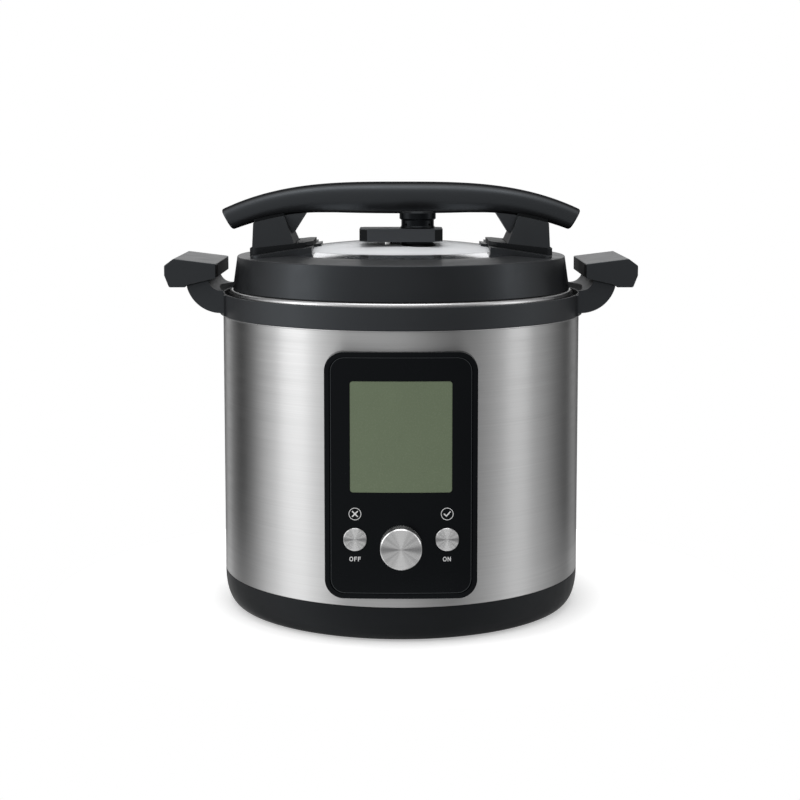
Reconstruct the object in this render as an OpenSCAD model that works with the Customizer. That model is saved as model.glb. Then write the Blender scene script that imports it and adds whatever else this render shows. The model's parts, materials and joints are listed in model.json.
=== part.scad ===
// Electric yogurt maker of the multicooker kind: a steel drum on a black base, a removable pot,
// a bayonet lid with a bridge handle, and a control panel with a dial and two push buttons.
// The drum's axis is Z, the table is z = 0 and the control panel faces -Y.

/* [Drum] */
// Outside diameter of the steel drum
drum_d = 260; // [240:1:300]
// Height of the bare steel between the base and the collar
drum_h = 187; // [165:1:230]
// Thickness of the drum's sheet steel
drum_wall = 0.8; // [0.5:0.1:1.2]

/* [Base] */
// Height of the seam between the base and the drum
base_h = 25; // [23:1:32]
// How much narrower the base is at the table than at the drum, on each side
base_tuck = 11; // [6:0.5:14]
// Roundness of the base's flank, where 2 is an ellipse
base_curve = 2.25; // [1.8:0.05:3]
// Thickness of the base's plastic wall and floor
base_wall = 3; // [2:0.5:4]
// Gap between the base's underside and the table
base_gap = 1.5; // [1:0.25:3]
// Diameter of each rubber foot
foot_d = 18; // [12:1:24]

/* [Collar and side handles] */
// Height of the black collar above the drum
collar_h = 15.5; // [12:0.5:22]
// How far the collar stands out from the drum
collar_out = 1; // [0.5:0.25:3]
// Length of each side handle, front to back
grip_len = 90; // [70:1:110]
// Length of the arm under each grip, front to back
arm_len = 80; // [60:1:100]
// How far each grip stands out from the drum
grip_reach = 37.8; // [34:0.2:46]

/* [Pot and well] */
// Space between the drum and the heating well
well_space = 15; // [14:0.5:24]
// Sheet thickness of the heating well
well_wall = 1.2; // [0.8:0.1:2]
// Clearance between the well and the pot
pot_gap = 2; // [1:0.25:4]
// Wall of the removable pot
pot_wall = 1.2; // [0.8:0.1:2]
// Thickness of the pot's floor
pot_floor = 3; // [2:0.5:6]
// Height of the heater's upper face above the base seam
heater_rise = 35; // [34:0.5:45]

/* [Lid] */
// How far the lid's black ring is set in from the drum at its lower edge
lid_inset = 7; // [6:0.25:9]
// How much the ring narrows on each side from its lower edge to its crease
lid_taper = 3.5; // [1:0.25:5]
// Height of the ring from its lower edge to its crease
lid_ring_h = 24; // [20:0.5:30]
// Radius of the circle where the steel dome meets the ring
dome_edge_r = 91.5; // [86:0.5:93]
// Radius of curvature of the steel dome
dome_curve_r = 485; // [400:5:700]
// Height of the dome's crown above the ring's crease
dome_rise = 10.8; // [9:0.2:14]
// Sheet thickness of the lid's steel
lid_sheet = 1.5; // [1:0.1:2]
// Number of bayonet lugs around the lid
lug_count = 8; // [6:1:10]
// Angle that one bayonet lug takes up
lug_angle = 18; // [12:1:20]

/* [Bridge handle] */
// Half length of the handle's upper edge
bar_half = 130.8; // [125:0.2:140]
// Half length of the handle's lower edge
bar_half_low = 122.5; // [118:0.5:132]
// Depth of the handle, front to back, at its middle
bar_depth = 32; // [26:1:38]
// Thickness of the handle at its middle
bar_thick = 21.4; // [18:0.2:26]
// Gap between the dome's crown and the handle
bar_gap = 21.2; // [19:0.2:30]
// How far the handle's upper edge droops at its ends
bar_droop = 20.2; // [12:0.2:24]
// Half depth of the handle's feet on the lid
foot_half = 50; // [44:1:52]

/* [Valves] */
// Distance of the valve knob to the right of the lid's centre
valve_x = 11.8; // [11:0.2:14]
// Distance of the valve knob in front of the lid's centre
valve_y = 34; // [33:0.5:38]
// Radius of the valve knob's cap
valve_knob_r = 12.9; // [10:0.1:13]
// Height of the valve knob
valve_knob_h = 12; // [11:0.2:14]
// Width of the valve cover
cover_w = 59; // [58:1:66]
// Depth of the valve cover
cover_depth = 33; // [32:1:36]
// Thickness of the valve cover
cover_h = 9.2; // [8:0.2:12]

/* [Control panel] */
// Width of the panel
panel_w = 101; // [100:1:110]
// Height of the panel
panel_h = 166; // [160:1:175]
// Height of the panel's lower edge above the base seam
panel_low = 7.3; // [5:0.1:14]
// Corner radius of the panel
panel_corner = 12.7; // [8:0.1:16]
// Width of the panel's raised rim
panel_rim = 3.3; // [2.5:0.1:4]
// Radius of curvature of the panel's face
panel_curve_r = 520; // [400:10:900]
// How far the panel's middle stands out from the drum
panel_out = 3.8; // [3:0.1:6]
// Width of the display
lcd_w = 68; // [60:1:74]
// Height of the display
lcd_h = 74.7; // [66:0.1:80]
// Height of the display's lower edge above the panel's lower edge
lcd_low = 71.9; // [70:0.1:76]
// Diameter of the dial
dial_d = 27.7; // [22:0.1:32]
// How far the dial stands out from the panel
dial_out = 11.4; // [8:0.1:14]
// Height of the dial's axis above the panel's lower edge
dial_rise = 36.2; // [32:0.1:42]
// Diameter of the two push buttons
button_d = 15.7; // [12:0.1:18]
// Distance of each push button from the panel's middle
button_x = 30.7; // [26:0.1:34]
// Height of the push buttons above the panel's lower edge
button_rise = 40.3; // [34:0.1:46]
// Travel of a push button
button_travel = 0.8; // [0.4:0.1:1]

/* [Hidden] */
$fn = 120;
eps = 0.02;

// Clearances
slip = 0.3;       // between pieces on different bodies
fit = 0.1;        // between pieces of one body
run_fit = 0.05;   // a shaft in its bore

// Radii, from the drum inwards
drum_r = drum_d / 2;
drum_in = drum_r - drum_wall;
collar_r = drum_r + collar_out;
seat_out = 1.4;
seat_r = collar_r + seat_out;
well_out = drum_in - well_space;
well_r = well_out - well_wall;
pot_r = well_r - pot_gap;
tab_r = well_r + 0.5;
skirt_r = tab_r - 0.7;
skirt_in = skirt_r - lid_sheet;
moat_r = well_r + 6;
moat_out = moat_r + well_wall;
rim_r = drum_r - 4.6;
rim_fold = 1.2;
groove_in = rim_r - rim_fold - fit;
groove_out = collar_r - 2.4;
lug_r = moat_r - 0.7;
lid_r = drum_r - lid_inset;
crease_r = lid_r - lid_taper;

// Heights, from the table up
collar_z = base_h + drum_h;
lip_z = collar_z + collar_h;
rim_top = lip_z + 2.2;
rim_low = lip_z - 1.6;
groove_z = rim_low - 0.6;
lid_z = rim_top + slip;
crease_z = lid_z + lid_ring_h;
crown_z = crease_z + dome_rise;
shelf_z = lip_z - 9.5;
heater_z = base_h + heater_rise;
pot_z = heater_z + slip;
pot_rim_z = shelf_z + 2.4;
well_z = heater_z - 16;
lug_z = lip_z - 5.2;
lug_h = 3;

// Lid dome and its skirt
shoulder_r = 11.8;
shoulder_a = asin((skirt_r - shoulder_r) / (dome_curve_r - shoulder_r));
dome_c = crown_z - dome_curve_r;
function dome_z(r) = dome_c + sqrt(pow(dome_curve_r, 2) - r * r);

// Bridge handle
bar_low_z = crown_z + bar_gap;
bar_top_z = bar_low_z + bar_thick;
bar_fall = 11.6;
bar_flat = 60;
seat_line = [[66, bar_low_z - 0.8], [86, bar_low_z - 3.1], [108, bar_low_z - 7.7]];
foot_in = 62.8;
foot_out = 107;
flange_in = 63;
flange_out = 108.4;
flange_half = foot_half - 16;
foot_top_in = crown_z - 2.3;
foot_slope = -0.155;
flange_top_in = crown_z + 0.8;
flange_slope = -0.11;
bolt_x = 88;
bolt_y = 9;
bolt_r = 2.5;
bolt_head_h = 3.5;
bolt_top = bar_low_z + 6;

// Valves
cover_z = crown_z + 1.1;
cover_top = cover_z + cover_h;
cover_front = -valve_y - 13;
float_x = -9.3;
float_y = -valve_y + 3;
float_r = 3;
pipe_r = 4;

// Control panel
panel_z = base_h + panel_low;
panel_mid = panel_z + panel_h / 2;
panel_y = -(drum_r + panel_out);
fascia_set = 0.5;
fascia_t = 2.2;
fascia_y = panel_y + fascia_set;
opening_w = panel_w - 15;
opening_h = panel_h - 16;
tray_y = -(well_out + 1.8);
tray_wall = 1.5;
board_y = tray_y - tray_wall - 2.9;
board_t = 1.6;
ribbon_w = 18;
ribbon_t = 0.8;
ribbon_y = -(well_out + 0.5 + ribbon_t);
ribbon_z = panel_z + 19.2;
dial_z = panel_z + dial_rise;
button_z = panel_z + button_rise;
button_r = button_d / 2;
shaft_r = 3;
lcd_z = panel_z + lcd_low;
lcd_back = panel_y + 4.6;

// Screws: shank radius, head radius, head height
small_screw = [1.25, 2.6, 1.6];
board_screw_len = 3.4;
board_screw_x = opening_w / 2 - 7;
board_screw_z = opening_h / 2 - 9;
cup_screw_len = 4;
cup_screw_x = 10;
cup_screw_z = collar_z - 9;
base_screw = [2, 4, 2.5];
base_screw_at = [30, 150, 210, 330];
base_screw_r = drum_r - 16;
foot_ring_r = drum_r - 26;
power_x = 45;
power_y = 30;
power_mid_y = -12;
power_z = base_gap + base_wall + 7.5;

// Cup at the back that catches condensation
cup_w = 52;
cup_y = drum_r + 2.5;
cup_back = drum_r + panel_out + dial_out;
cup_z = collar_z - 42;
cup_h = 38;
cup_wall = 1.6;
cup_flange_z = cup_z + cup_h - 2.5;

// Inlet for the mains lead
inlet_w = 34;
inlet_mid_z = base_h / 2 + 1.6;
inlet_face = drum_r + 0.4;
inlet_h = base_h - 4;

// Heater and probe
plate_r = well_r - 15;
plate_t = 8;
plate_z = heater_z - plate_t;
element_r = 66;
element_tube = 4;
leg_ring_r = 84;
probe_r = 14;
bracket_z = well_z - 10;
bracket_hole_x = 30;
spring_r = 8;
spring_wire = 0.8;

// ---- Shared shapes ----

function arc(c, r, a0, a1, n = 12) =
    [for (i = [0:n]) let (a = a0 + (a1 - a0) * i / n) [c[0] + r * cos(a), c[1] + r * sin(a)]];

module at_angles(angles, r) {
    for (a = angles) rotate([0, 0, a]) translate([r, 0, 0]) children();
}

module tube(r_out, r_in, z0, z1) {
    difference() {
        translate([0, 0, z0]) cylinder(h = z1 - z0, r = r_out);
        translate([0, 0, z0 - 1]) cylinder(h = z1 - z0 + 2, r = r_in);
    }
}

// A flat rounded rectangle, centred
module rounded_rect(w, h, r) {
    square([w - 2 * r, h], center = true);
    square([w, h - 2 * r], center = true);
    for (x = [-1, 1], y = [-1, 1]) translate([x * (w / 2 - r), y * (h / 2 - r)]) circle(r = r);
}

// Draws a flat shape, given in X and Z, from y_front back to y_back
module facing(y_front, y_back) {
    translate([0, y_back, 0]) rotate([90, 0, 0]) linear_extrude(y_back - y_front) children();
}

// A round bar along Y, seated at x and z
module bar_y(x, z, r, y_front, y_back) {
    facing(y_front, y_back) translate([x, z]) circle(r = r);
}

// The space behind the panel's curved face, set back by a depth
module behind_face(depth) {
    translate([0, panel_y + depth + panel_curve_r, panel_z - 20])
        cylinder(h = panel_h + 40, r = panel_curve_r, $fn = 1440);
}

// A screw standing on its head, pointing up from z
module screw(size, z, length) {
    translate([0, 0, z]) cylinder(h = size[2], r = size[1]);
    translate([0, 0, z + size[2] - eps]) cylinder(h = length + eps, r = size[0]);
}

// A wire along a list of points
module wire(points, r, sides = 10) {
    n = len(points);
    function way(i) = let (d = points[min(i + 1, n - 1)] - points[max(i - 1, 0)]) d / norm(d);
    function side(i) = let (c = cross(way(i), abs(way(i)[2]) > 0.9 ? [1, 0, 0] : [0, 0, 1]))
        c / norm(c);
    rings = [for (i = [0:n - 1], k = [0:sides - 1])
        let (a = 360 * k / sides, u = side(i), v = cross(way(i), u))
        points[i] + r * (cos(a) * u + sin(a) * v)];
    walls = [for (i = [0:n - 2], k = [0:sides - 1]) let (m = (k + 1) % sides)
        [i * sides + m, i * sides + k, (i + 1) * sides + k, (i + 1) * sides + m]];
    first = [for (k = [0:sides - 1]) k];
    last = [for (k = [sides - 1:-1:0]) (n - 1) * sides + k];
    polyhedron(rings, concat(walls, [first, last]));
}

// A smooth run of points through a Bezier curve
function bend(a, b, c, d, n = 14) = [for (i = [0:n]) let (t = i / n, s = 1 - t)
    s * s * s * a + 3 * s * s * t * b + 3 * s * t * t * c + t * t * t * d];

// ---- Base ----

function base_r(z) = drum_r - base_tuck
    * (1 - pow(1 - pow(max(0, (base_h - z) / base_h), base_curve), 1 / base_curve));

module base_outline() {
    n = 16;
    outer = [for (i = [0:n]) let (z = base_gap + (base_h - base_gap) * (1 - cos(90 * i / n)))
        [base_r(z), z]];
    inner = [for (i = [n:-1:1]) let (z = outer[i][1])
        if (z > base_gap + base_wall + 1) [outer[i][0] - base_wall, z]];
    floor_in = base_r(base_gap + base_wall) - base_wall;
    polygon(concat([[0, base_gap]], outer, inner,
        [[floor_in, base_gap + base_wall], [0, base_gap + base_wall]]));
}

module base_tub() {
    floor_z = base_gap + base_wall;
    slot_len = 46;
    color([0.1, 0.1, 0.11])
    difference() {
        union() {
            rotate_extrude() base_outline();
            at_angles(base_screw_at, base_screw_r)
                translate([0, 0, floor_z - 1]) cylinder(h = base_h - floor_z + 1, r = 5);
            for (x = [-1, 1], y = [-1, 1])
                translate([x * power_x, power_mid_y + y * power_y, floor_z - 1])
                    cylinder(h = power_z - floor_z + 1, r = 3.5);
        }
        at_angles([45, 135, 225, 315], foot_ring_r) {
            translate([0, 0, base_gap - 1]) cylinder(h = 3, r = foot_d / 2 + fit);
            translate([0, 0, base_gap - 1]) cylinder(h = 8, r = 3);
        }
        at_angles(base_screw_at, base_screw_r) {
            cylinder(h = base_gap + 4, r = base_screw[1] + 0.5);
            cylinder(h = base_h + 1, r = base_screw[0] + fit);
        }
        for (x = [-1, 1], y = [-1, 1])
            translate([x * power_x, power_mid_y + y * power_y, power_z - 6])
                cylinder(h = 7, r = small_screw[0] + run_fit);
        for (x = [-2:2]) translate([x * 9, 62, 0])
            cube([4, slot_len - abs(x) * 6, 3 * base_wall + 4], center = true);
        for (x = [-2:2]) translate([x * 9, -68, 0])
            cube([4, slot_len - abs(x) * 6, 3 * base_wall + 4], center = true);
        facing(drum_r - 40, drum_r + 5) translate([0, inlet_mid_z])
            square([inlet_w - 5, inlet_h - 2.5], center = true);
        facing(inlet_face - 4.3, drum_r + 5) translate([0, inlet_mid_z])
            square([inlet_w + 2 * fit, inlet_h + 2 * fit], center = true);
    }
}

module rubber_feet() {
    color([0.07, 0.07, 0.07]) at_angles([45, 135, 225, 315], foot_ring_r) {
        difference() {
            cylinder(h = base_gap + 2, r = foot_d / 2);
            translate([0, 0, -1]) cylinder(h = 1.6, r = foot_d / 4);
        }
        translate([0, 0, base_gap + 1]) cylinder(h = 5, r = 2.9);
    }
}

module base_screws() {
    color([0.7, 0.7, 0.72]) at_angles(base_screw_at, base_screw_r)
        screw(base_screw, base_gap + 4 - base_screw[2], base_h - base_gap + 2);
}

// ---- Drum and collar ----

module housing_drum() {
    color([0.72, 0.71, 0.69])
    difference() {
        union() {
            tube(drum_r, drum_in, base_h, collar_z);
            tube(drum_r - 0.2, base_screw_r - 6, base_h, base_h + drum_wall);
        }
        facing(-drum_r - 5, 0) translate([0, panel_mid])
            rounded_rect(opening_w, opening_h, 4);
        at_angles(base_screw_at, base_screw_r)
            translate([0, 0, base_h - 1]) cylinder(h = 3, r = base_screw[0] + fit);
        translate([0, ribbon_y + ribbon_t / 2, base_h])
            cube([ribbon_w + 2, ribbon_t + 2, 3], center = true);
        for (x = [-1, 1])
            bar_y(x * cup_screw_x, cup_screw_z, small_screw[0] + fit, drum_r - 20, drum_r + 5);
    }
}

module collar_ring() {
    cavity_out = collar_r - 4.4;
    cavity_top = groove_z - 1.8;
    color([0.11, 0.11, 0.12])
    difference() {
        union() {
            rotate_extrude() polygon([
                [collar_r, collar_z], [collar_r, lip_z - 1.2], [collar_r - 1.2, lip_z],
                [groove_out, lip_z], [groove_out, groove_z], [groove_in, groove_z],
                [groove_in, lip_z], [moat_out + 0.4, lip_z], [moat_out + 0.4, collar_z + 2],
                [moat_out + 2.4, collar_z + 2], [moat_out + 2.4, cavity_top],
                [cavity_out, cavity_top], [cavity_out, collar_z - 6],
                [drum_in - 0.2, collar_z - 6], [drum_in - 0.2, collar_z]]);
            intersection() {
                tube(seat_r, collar_r - 2, collar_z + 0.6, lip_z);
                cube([3 * drum_d, arm_len, 3 * drum_h], center = true);
            }
        }
        handle_screw_places() rotate([0, 90, 0]) cylinder(h = 20, r = grip_screw_r + fit);
    }
}

// Where the side handles are screwed on, from inside the collar
module handle_screw_places() {
    for (side = [0, 180], y = [-1, 1]) rotate([0, 0, side])
        translate([grip_screw_x, y * grip_screw_y, grip_screw_z]) children();
}

module handle_screws() {
    color([0.7, 0.7, 0.72]) handle_screw_places() rotate([0, 90, 0]) {
        cylinder(h = 2, r = 3.4);
        cylinder(h = grip_screw_len, r = grip_screw_r);
    }
}

// ---- Side handles ----

grip_screw_r = 2;
grip_screw_y = 24;
grip_screw_z = collar_z + 8;
grip_screw_x = moat_out + 1.2;
grip_screw_len = 18;
arm_c = [drum_r - 2, collar_z + 28];
arm_big = 25.2;
arm_small = 9.2;
grip_x = drum_r + grip_reach;
grip_z = arm_c[1];
grip_in = drum_r + 1.2;
grip_low = [[grip_in, grip_z], [grip_x - 16, grip_z - 4.6]];

// Side handle on the +X side
module handle_arm() {
    fall = (grip_low[0][1] - grip_low[1][1]) / (grip_low[1][0] - grip_low[0][0]);
    throat_a = -atan(fall * (arm_c[0] + arm_small - grip_in) / arm_small);
    heel_a = -asin((grip_z - grip_low[1][1] + 1) / arm_big);
    difference() {
        translate([0, arm_len / 2, 0]) rotate([90, 0, 0]) linear_extrude(arm_len)
            polygon(concat(
                [[arm_c[0] - 10, arm_c[1] - arm_small], [arm_c[0] - 10, arm_c[1] - arm_big]],
                arc(arm_c, arm_big, -90, heel_a, 24), [grip_low[1]],
                arc(arm_c, arm_small, throat_a, -90, 16)));
        translate([0, 0, collar_z - 20]) cylinder(h = 80, r = seat_r);
        for (y = [-1, 1]) translate([drum_r, y * grip_screw_y, grip_screw_z]) rotate([0, 90, 0])
            cylinder(h = grip_screw_x + grip_screw_len + 0.5 - drum_r, r = grip_screw_r + run_fit);
    }
}

module handle_grip() {
    translate([0, grip_len / 2, 0]) rotate([90, 0, 0]) linear_extrude(grip_len) polygon([
        [grip_x, grip_z + 9], [grip_x - 6.6, grip_z + 13.9], [grip_in, grip_z + 10.2],
        grip_low[0], grip_low[1], [grip_x - 14.6, grip_z - 6.4], [grip_x - 3.3, grip_z - 6.4],
        [grip_x, grip_z + 2.1]]);
}

module handle_arm_right() { color([0.12, 0.12, 0.13]) handle_arm(); }
module handle_arm_left() { color([0.12, 0.12, 0.13]) mirror([1, 0, 0]) handle_arm(); }
module handle_grip_right() { color([0.13, 0.13, 0.14]) handle_grip(); }
module handle_grip_left() { color([0.13, 0.13, 0.14]) mirror([1, 0, 0]) handle_grip(); }

// ---- Heating well, heater and probe ----

module liner_pot() {
    tab_z = lip_z - 1;
    color([0.8, 0.8, 0.82])
    difference() {
        union() {
            tube(well_out, well_r, well_z, shelf_z);
            tube(well_out, 18, well_z, well_z + well_wall);
            tube(moat_out, well_r, shelf_z - well_wall, shelf_z);
            tube(moat_out, moat_r, shelf_z - well_wall, rim_top - 0.4);
            rotate_extrude() polygon([
                [moat_r, lip_z], [rim_r - rim_fold, lip_z], [rim_r - rim_fold, rim_low],
                [rim_r, rim_low], [rim_r, rim_top - 0.8], [rim_r - 0.8, rim_top],
                [moat_r, rim_top]]);
            for (i = [0:lug_count - 1]) rotate([0, 0, (i + 0.5) * 360 / lug_count - lug_angle / 2])
                rotate_extrude(angle = lug_angle)
                    translate([tab_r, tab_z]) square([moat_r + 0.5 - tab_r, rim_top - tab_z]);
        }
        at_angles([90, 210, 330], leg_ring_r)
            translate([0, 0, well_z - 1]) cylinder(h = 4, r = 1.8);
        at_angles([60, 120], element_r)
            translate([0, 0, well_z - 1]) cylinder(h = 4, r = element_tube + 1);
        for (x = [-1, 1])
            translate([x * bracket_hole_x, 0, well_z - 1]) cylinder(h = 4, r = 1.8);
    }
}

module heater_plate() {
    color([0.68, 0.68, 0.7])
    difference() {
        union() {
            translate([0, 0, plate_z]) cylinder(h = plate_t - 1, r = plate_r);
            translate([0, 0, heater_z - 1]) cylinder(h = 1, r1 = plate_r, r2 = plate_r - 1);
            at_angles([90, 210, 330], leg_ring_r) translate([0, 0, well_z + well_wall])
                cylinder(h = plate_z - well_z - well_wall + 1, r = 6);
        }
        translate([0, 0, plate_z - 1]) cylinder(h = plate_t + 2, r = probe_r + 2);
        translate([0, 0, plate_z]) rotate_extrude()
            translate([element_r, 0]) circle(r = element_tube + fit);
        at_angles([60, 120], element_r) translate([0, 0, plate_z - 1])
            cylinder(h = element_tube + 1.7, r = element_tube + 0.6);
        at_angles([90, 210, 330], leg_ring_r)
            translate([0, 0, well_z]) cylinder(h = 13, r = 1.5 + run_fit);
    }
}

module heater_tube() {
    color([0.45, 0.42, 0.4]) {
        rotate([0, 0, 120]) translate([0, 0, plate_z])
            rotate_extrude(angle = 300) translate([element_r, 0]) circle(r = element_tube);
        at_angles([60, 120], element_r) translate([0, 0, well_z - 7])
            cylinder(h = plate_z + element_tube + 0.5 - well_z + 7, r = element_tube + 0.5);
    }
}

module heater_screws() {
    color([0.75, 0.75, 0.77]) at_angles([90, 210, 330], leg_ring_r)
        screw([1.5, 3, 2], well_z - 2, 12);
}

module probe_bracket() {
    leg_x = 23;
    sheet = 1.5;
    half = 9;
    color([0.7, 0.7, 0.7])
    difference() {
        union() {
            translate([-leg_x - sheet, -half, bracket_z]) cube([2 * (leg_x + sheet), 2 * half, sheet]);
            for (x = [-1, 1]) {
                translate([x * (leg_x + sheet / 2) - sheet / 2, -half, bracket_z])
                    cube([sheet, 2 * half, well_z - bracket_z]);
                translate([x * bracket_hole_x - 7, -half, well_z - sheet]) cube([14, 2 * half, sheet]);
            }
        }
        translate([0, 0, bracket_z - 1]) cylinder(h = 4, r = 4 + slip);
        for (x = [-1, 1]) translate([x * bracket_hole_x, 0, well_z - 3]) cylinder(h = 4, r = 1.6);
    }
}

module probe_spring() {
    top = heater_z - 1.6 - spring_wire;
    seat = bracket_z + 1.5 + spring_wire;
    steps = 6 * 18;
    color([0.8, 0.8, 0.82]) wire([for (i = [0:steps])
        [spring_r * cos(20 * i), spring_r * sin(20 * i), seat + (top - seat) * i / steps]],
        spring_wire, 8);
}

module probe_cup() {
    color([0.82, 0.82, 0.84]) {
        difference() {
            translate([0, 0, heater_z - 12]) cylinder(h = 12, r = probe_r);
            translate([0, 0, heater_z - 13]) cylinder(h = 11.5, r = probe_r - 1.2);
        }
        translate([0, 0, bracket_z - 4]) cylinder(h = heater_z - bracket_z + 3, r = 4);
    }
}

module thermal_fuse() {
    color([0.85, 0.8, 0.65]) translate([0, -46, well_z - 3]) rotate([0, 90, 0]) {
        translate([0, 0, -11]) cylinder(h = 22, r = 3);
        translate([0, 0, -19]) cylinder(h = 38, r = 0.8);
    }
}

// ---- Electronics in the base ----

module power_board() {
    color([0.1, 0.35, 0.2])
    difference() {
        translate([-power_x - 6, power_mid_y - power_y - 6, power_z])
            cube([2 * power_x + 12, 2 * power_y + 12, board_t]);
        for (x = [-1, 1], y = [-1, 1])
            translate([x * power_x, power_mid_y + y * power_y, power_z - 1])
                cylinder(h = 4, r = small_screw[0] + 0.4);
    }
}

module board_relay() {
    color([0.12, 0.25, 0.55]) translate([14, power_mid_y - 18, power_z + board_t])
        cube([20, 16, 11]);
}

module board_transformer() {
    color([0.75, 0.6, 0.2]) translate([-26, power_mid_y - 6, power_z + board_t]) {
        translate([-14, -13, 0]) cube([28, 26, 4]);
        translate([-11, -10, 4 - eps]) cube([22, 20, 8]);
    }
}

module small_screws() {
    color([0.7, 0.7, 0.72]) {
        for (x = [-1, 1], y = [-1, 1])
            translate([x * power_x, power_mid_y + y * power_y, power_z + board_t + small_screw[2]])
                mirror([0, 0, 1]) screw(small_screw, 0, 6);
        for (x = [-1, 1], z = [-1, 1])
            translate([x * board_screw_x, board_y - small_screw[2], panel_mid + z * board_screw_z])
                rotate([-90, 0, 0]) screw(small_screw, 0, board_screw_len);
        for (x = [-1, 1]) translate([x * cup_screw_x, drum_r - 4.3, cup_screw_z])
            rotate([-90, 0, 0]) screw(small_screw, 0, cup_screw_len);
    }
}

module inlet_socket() {
    cavity_w = 24.4;
    cavity_h = inlet_h - 5;
    back = inlet_face - 24;
    color([0.12, 0.12, 0.12])
    difference() {
        union() {
            facing(inlet_face - 4, inlet_face) translate([0, inlet_mid_z])
                rounded_rect(inlet_w, inlet_h, 1.5);
            facing(back, inlet_face - 1) translate([0, inlet_mid_z])
                square([inlet_w - 6, inlet_h - 3], center = true);
        }
        facing(inlet_face - 17, inlet_face + 1) translate([0, inlet_mid_z]) polygon([
            [-cavity_w / 2, -cavity_h / 2], [cavity_w / 2, -cavity_h / 2],
            [cavity_w / 2, cavity_h / 2 - 4], [cavity_w / 2 - 4, cavity_h / 2],
            [4 - cavity_w / 2, cavity_h / 2], [-cavity_w / 2, cavity_h / 2 - 4]]);
        inlet_blades(fit, 40);
    }
}

module inlet_blades(grow, length) {
    for (at = [[-7, -2], [7, -2], [0, 2]])
        facing(inlet_face - 4.5 - length, inlet_face - 4.5)
            translate([at[0], inlet_mid_z + at[1]])
                square([2 + 2 * grow, 4 + 2 * grow], center = true);
}

module inlet_pins() { color([0.85, 0.75, 0.45]) inlet_blades(0, 26); }

module mains_leads() {
    start_y = inlet_face - 4.5 - 26;
    lead_z = inlet_mid_z - 2;
    color([0.55, 0.12, 0.1]) {
        for (side = [-1, 1]) {
            wire(bend([side * 7, start_y - 0.2, lead_z], [side * 7, start_y - 22, lead_z],
                [side * 20, 60, power_z + 14], [side * 30, power_mid_y + 32, power_z + board_t + 1.6]),
                1.4, 8);
            wire(bend([side * 38, power_mid_y + 20, power_z + board_t + 0.8],
                [side * 42, power_mid_y + 26, power_z + 18], [side * 33, 60, bracket_z - 6],
                [side * element_r / 2, element_r * sin(60), well_z - 7.2]), 1.4, 8);
        }
    }
}

module ribbon_cable() {
    start_y = power_mid_y - power_y + 4;
    start_z = power_z + board_t;
    run_z = start_z + 6.2;
    color([0.8, 0.8, 0.78]) translate([-ribbon_w / 2, 0, 0]) {
        translate([0, start_y, start_z]) cube([ribbon_w, ribbon_t, run_z - start_z + ribbon_t]);
        translate([0, ribbon_y, run_z]) cube([ribbon_w, start_y - ribbon_y + ribbon_t, ribbon_t]);
        translate([0, ribbon_y, run_z]) cube([ribbon_w, ribbon_t, ribbon_z + ribbon_t - run_z]);
        translate([0, tray_y - 2, ribbon_z]) cube([ribbon_w, ribbon_y - tray_y + 2 + ribbon_t, ribbon_t]);
    }
}

// ---- Control panel ----

module panel_plate(inset, y_front, y_back) {
    facing(y_front, y_back) translate([0, panel_mid])
        rounded_rect(panel_w - 2 * inset, panel_h - 2 * inset, max(1, panel_corner - inset));
}

module control_bezel() {
    seat = fascia_set + fascia_t;
    color([0.05, 0.05, 0.06])
    difference() {
        intersection() {
            panel_plate(0, panel_y - 1, -drum_r + 16);
            behind_face(0);
        }
        translate([0, 0, base_h]) cylinder(h = drum_h, r = drum_r, $fn = 240);
        difference() {
            panel_plate(panel_rim, panel_y - 2, -drum_r + 20);
            intersection() {
                panel_plate(0, panel_y - 1, panel_y + seat + 6);
                behind_face(seat);
                translate([0, panel_y + seat + 1.5 + panel_curve_r, 0]) difference() {
                    cube([4 * drum_d, 3 * panel_curve_r, 3 * drum_d], center = true);
                    cylinder(h = 4 * drum_d, r = panel_curve_r, center = true, $fn = 1440);
                }
            }
        }
        panel_plate(panel_rim + 3, panel_y - 2, -drum_r + 20);
    }
}

module control_fascia() {
    color([0.02, 0.02, 0.03])
    difference() {
        intersection() {
            panel_plate(panel_rim + fit, panel_y - 1, panel_y + fascia_set + fascia_t + 6);
            behind_face(fascia_set);
        }
        behind_face(fascia_set + fascia_t);
        facing(panel_y - 2, panel_y + 12) translate([0, lcd_z + lcd_h / 2])
            rounded_rect(lcd_w + 2 * fit, lcd_h + 2 * fit, 2 + fit);
        for (x = [-1, 1])
            bar_y(x * button_x, button_z, button_r + slip, panel_y - 2, panel_y + 12);
        bar_y(0, dial_z, shaft_r + 1, panel_y - 2, panel_y + 12);
    }
}

module lcd_glass() {
    color([0.42, 0.47, 0.38])
    intersection() {
        facing(panel_y - 1, lcd_back) translate([0, lcd_z + lcd_h / 2])
            rounded_rect(lcd_w, lcd_h, 2);
        behind_face(fascia_set + 0.15);
    }
}

module lcd_frame() {
    color([0.85, 0.86, 0.85]) facing(lcd_back, board_y) translate([0, lcd_z + lcd_h / 2])
        difference() {
            square([lcd_w - 0.6, lcd_h - 0.6], center = true);
            square([lcd_w - 8, lcd_h - 8], center = true);
        }
}

module display_board() {
    color([0.1, 0.35, 0.2])
    difference() {
        facing(board_y, board_y + board_t) translate([0, panel_mid])
            square([opening_w - 8, opening_h - 10], center = true);
        for (x = [-1, 1], z = [-1, 1])
            bar_y(x * board_screw_x, panel_mid + z * board_screw_z, small_screw[0] + 0.4,
                board_y - 2, board_y + 4);
    }
}

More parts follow.
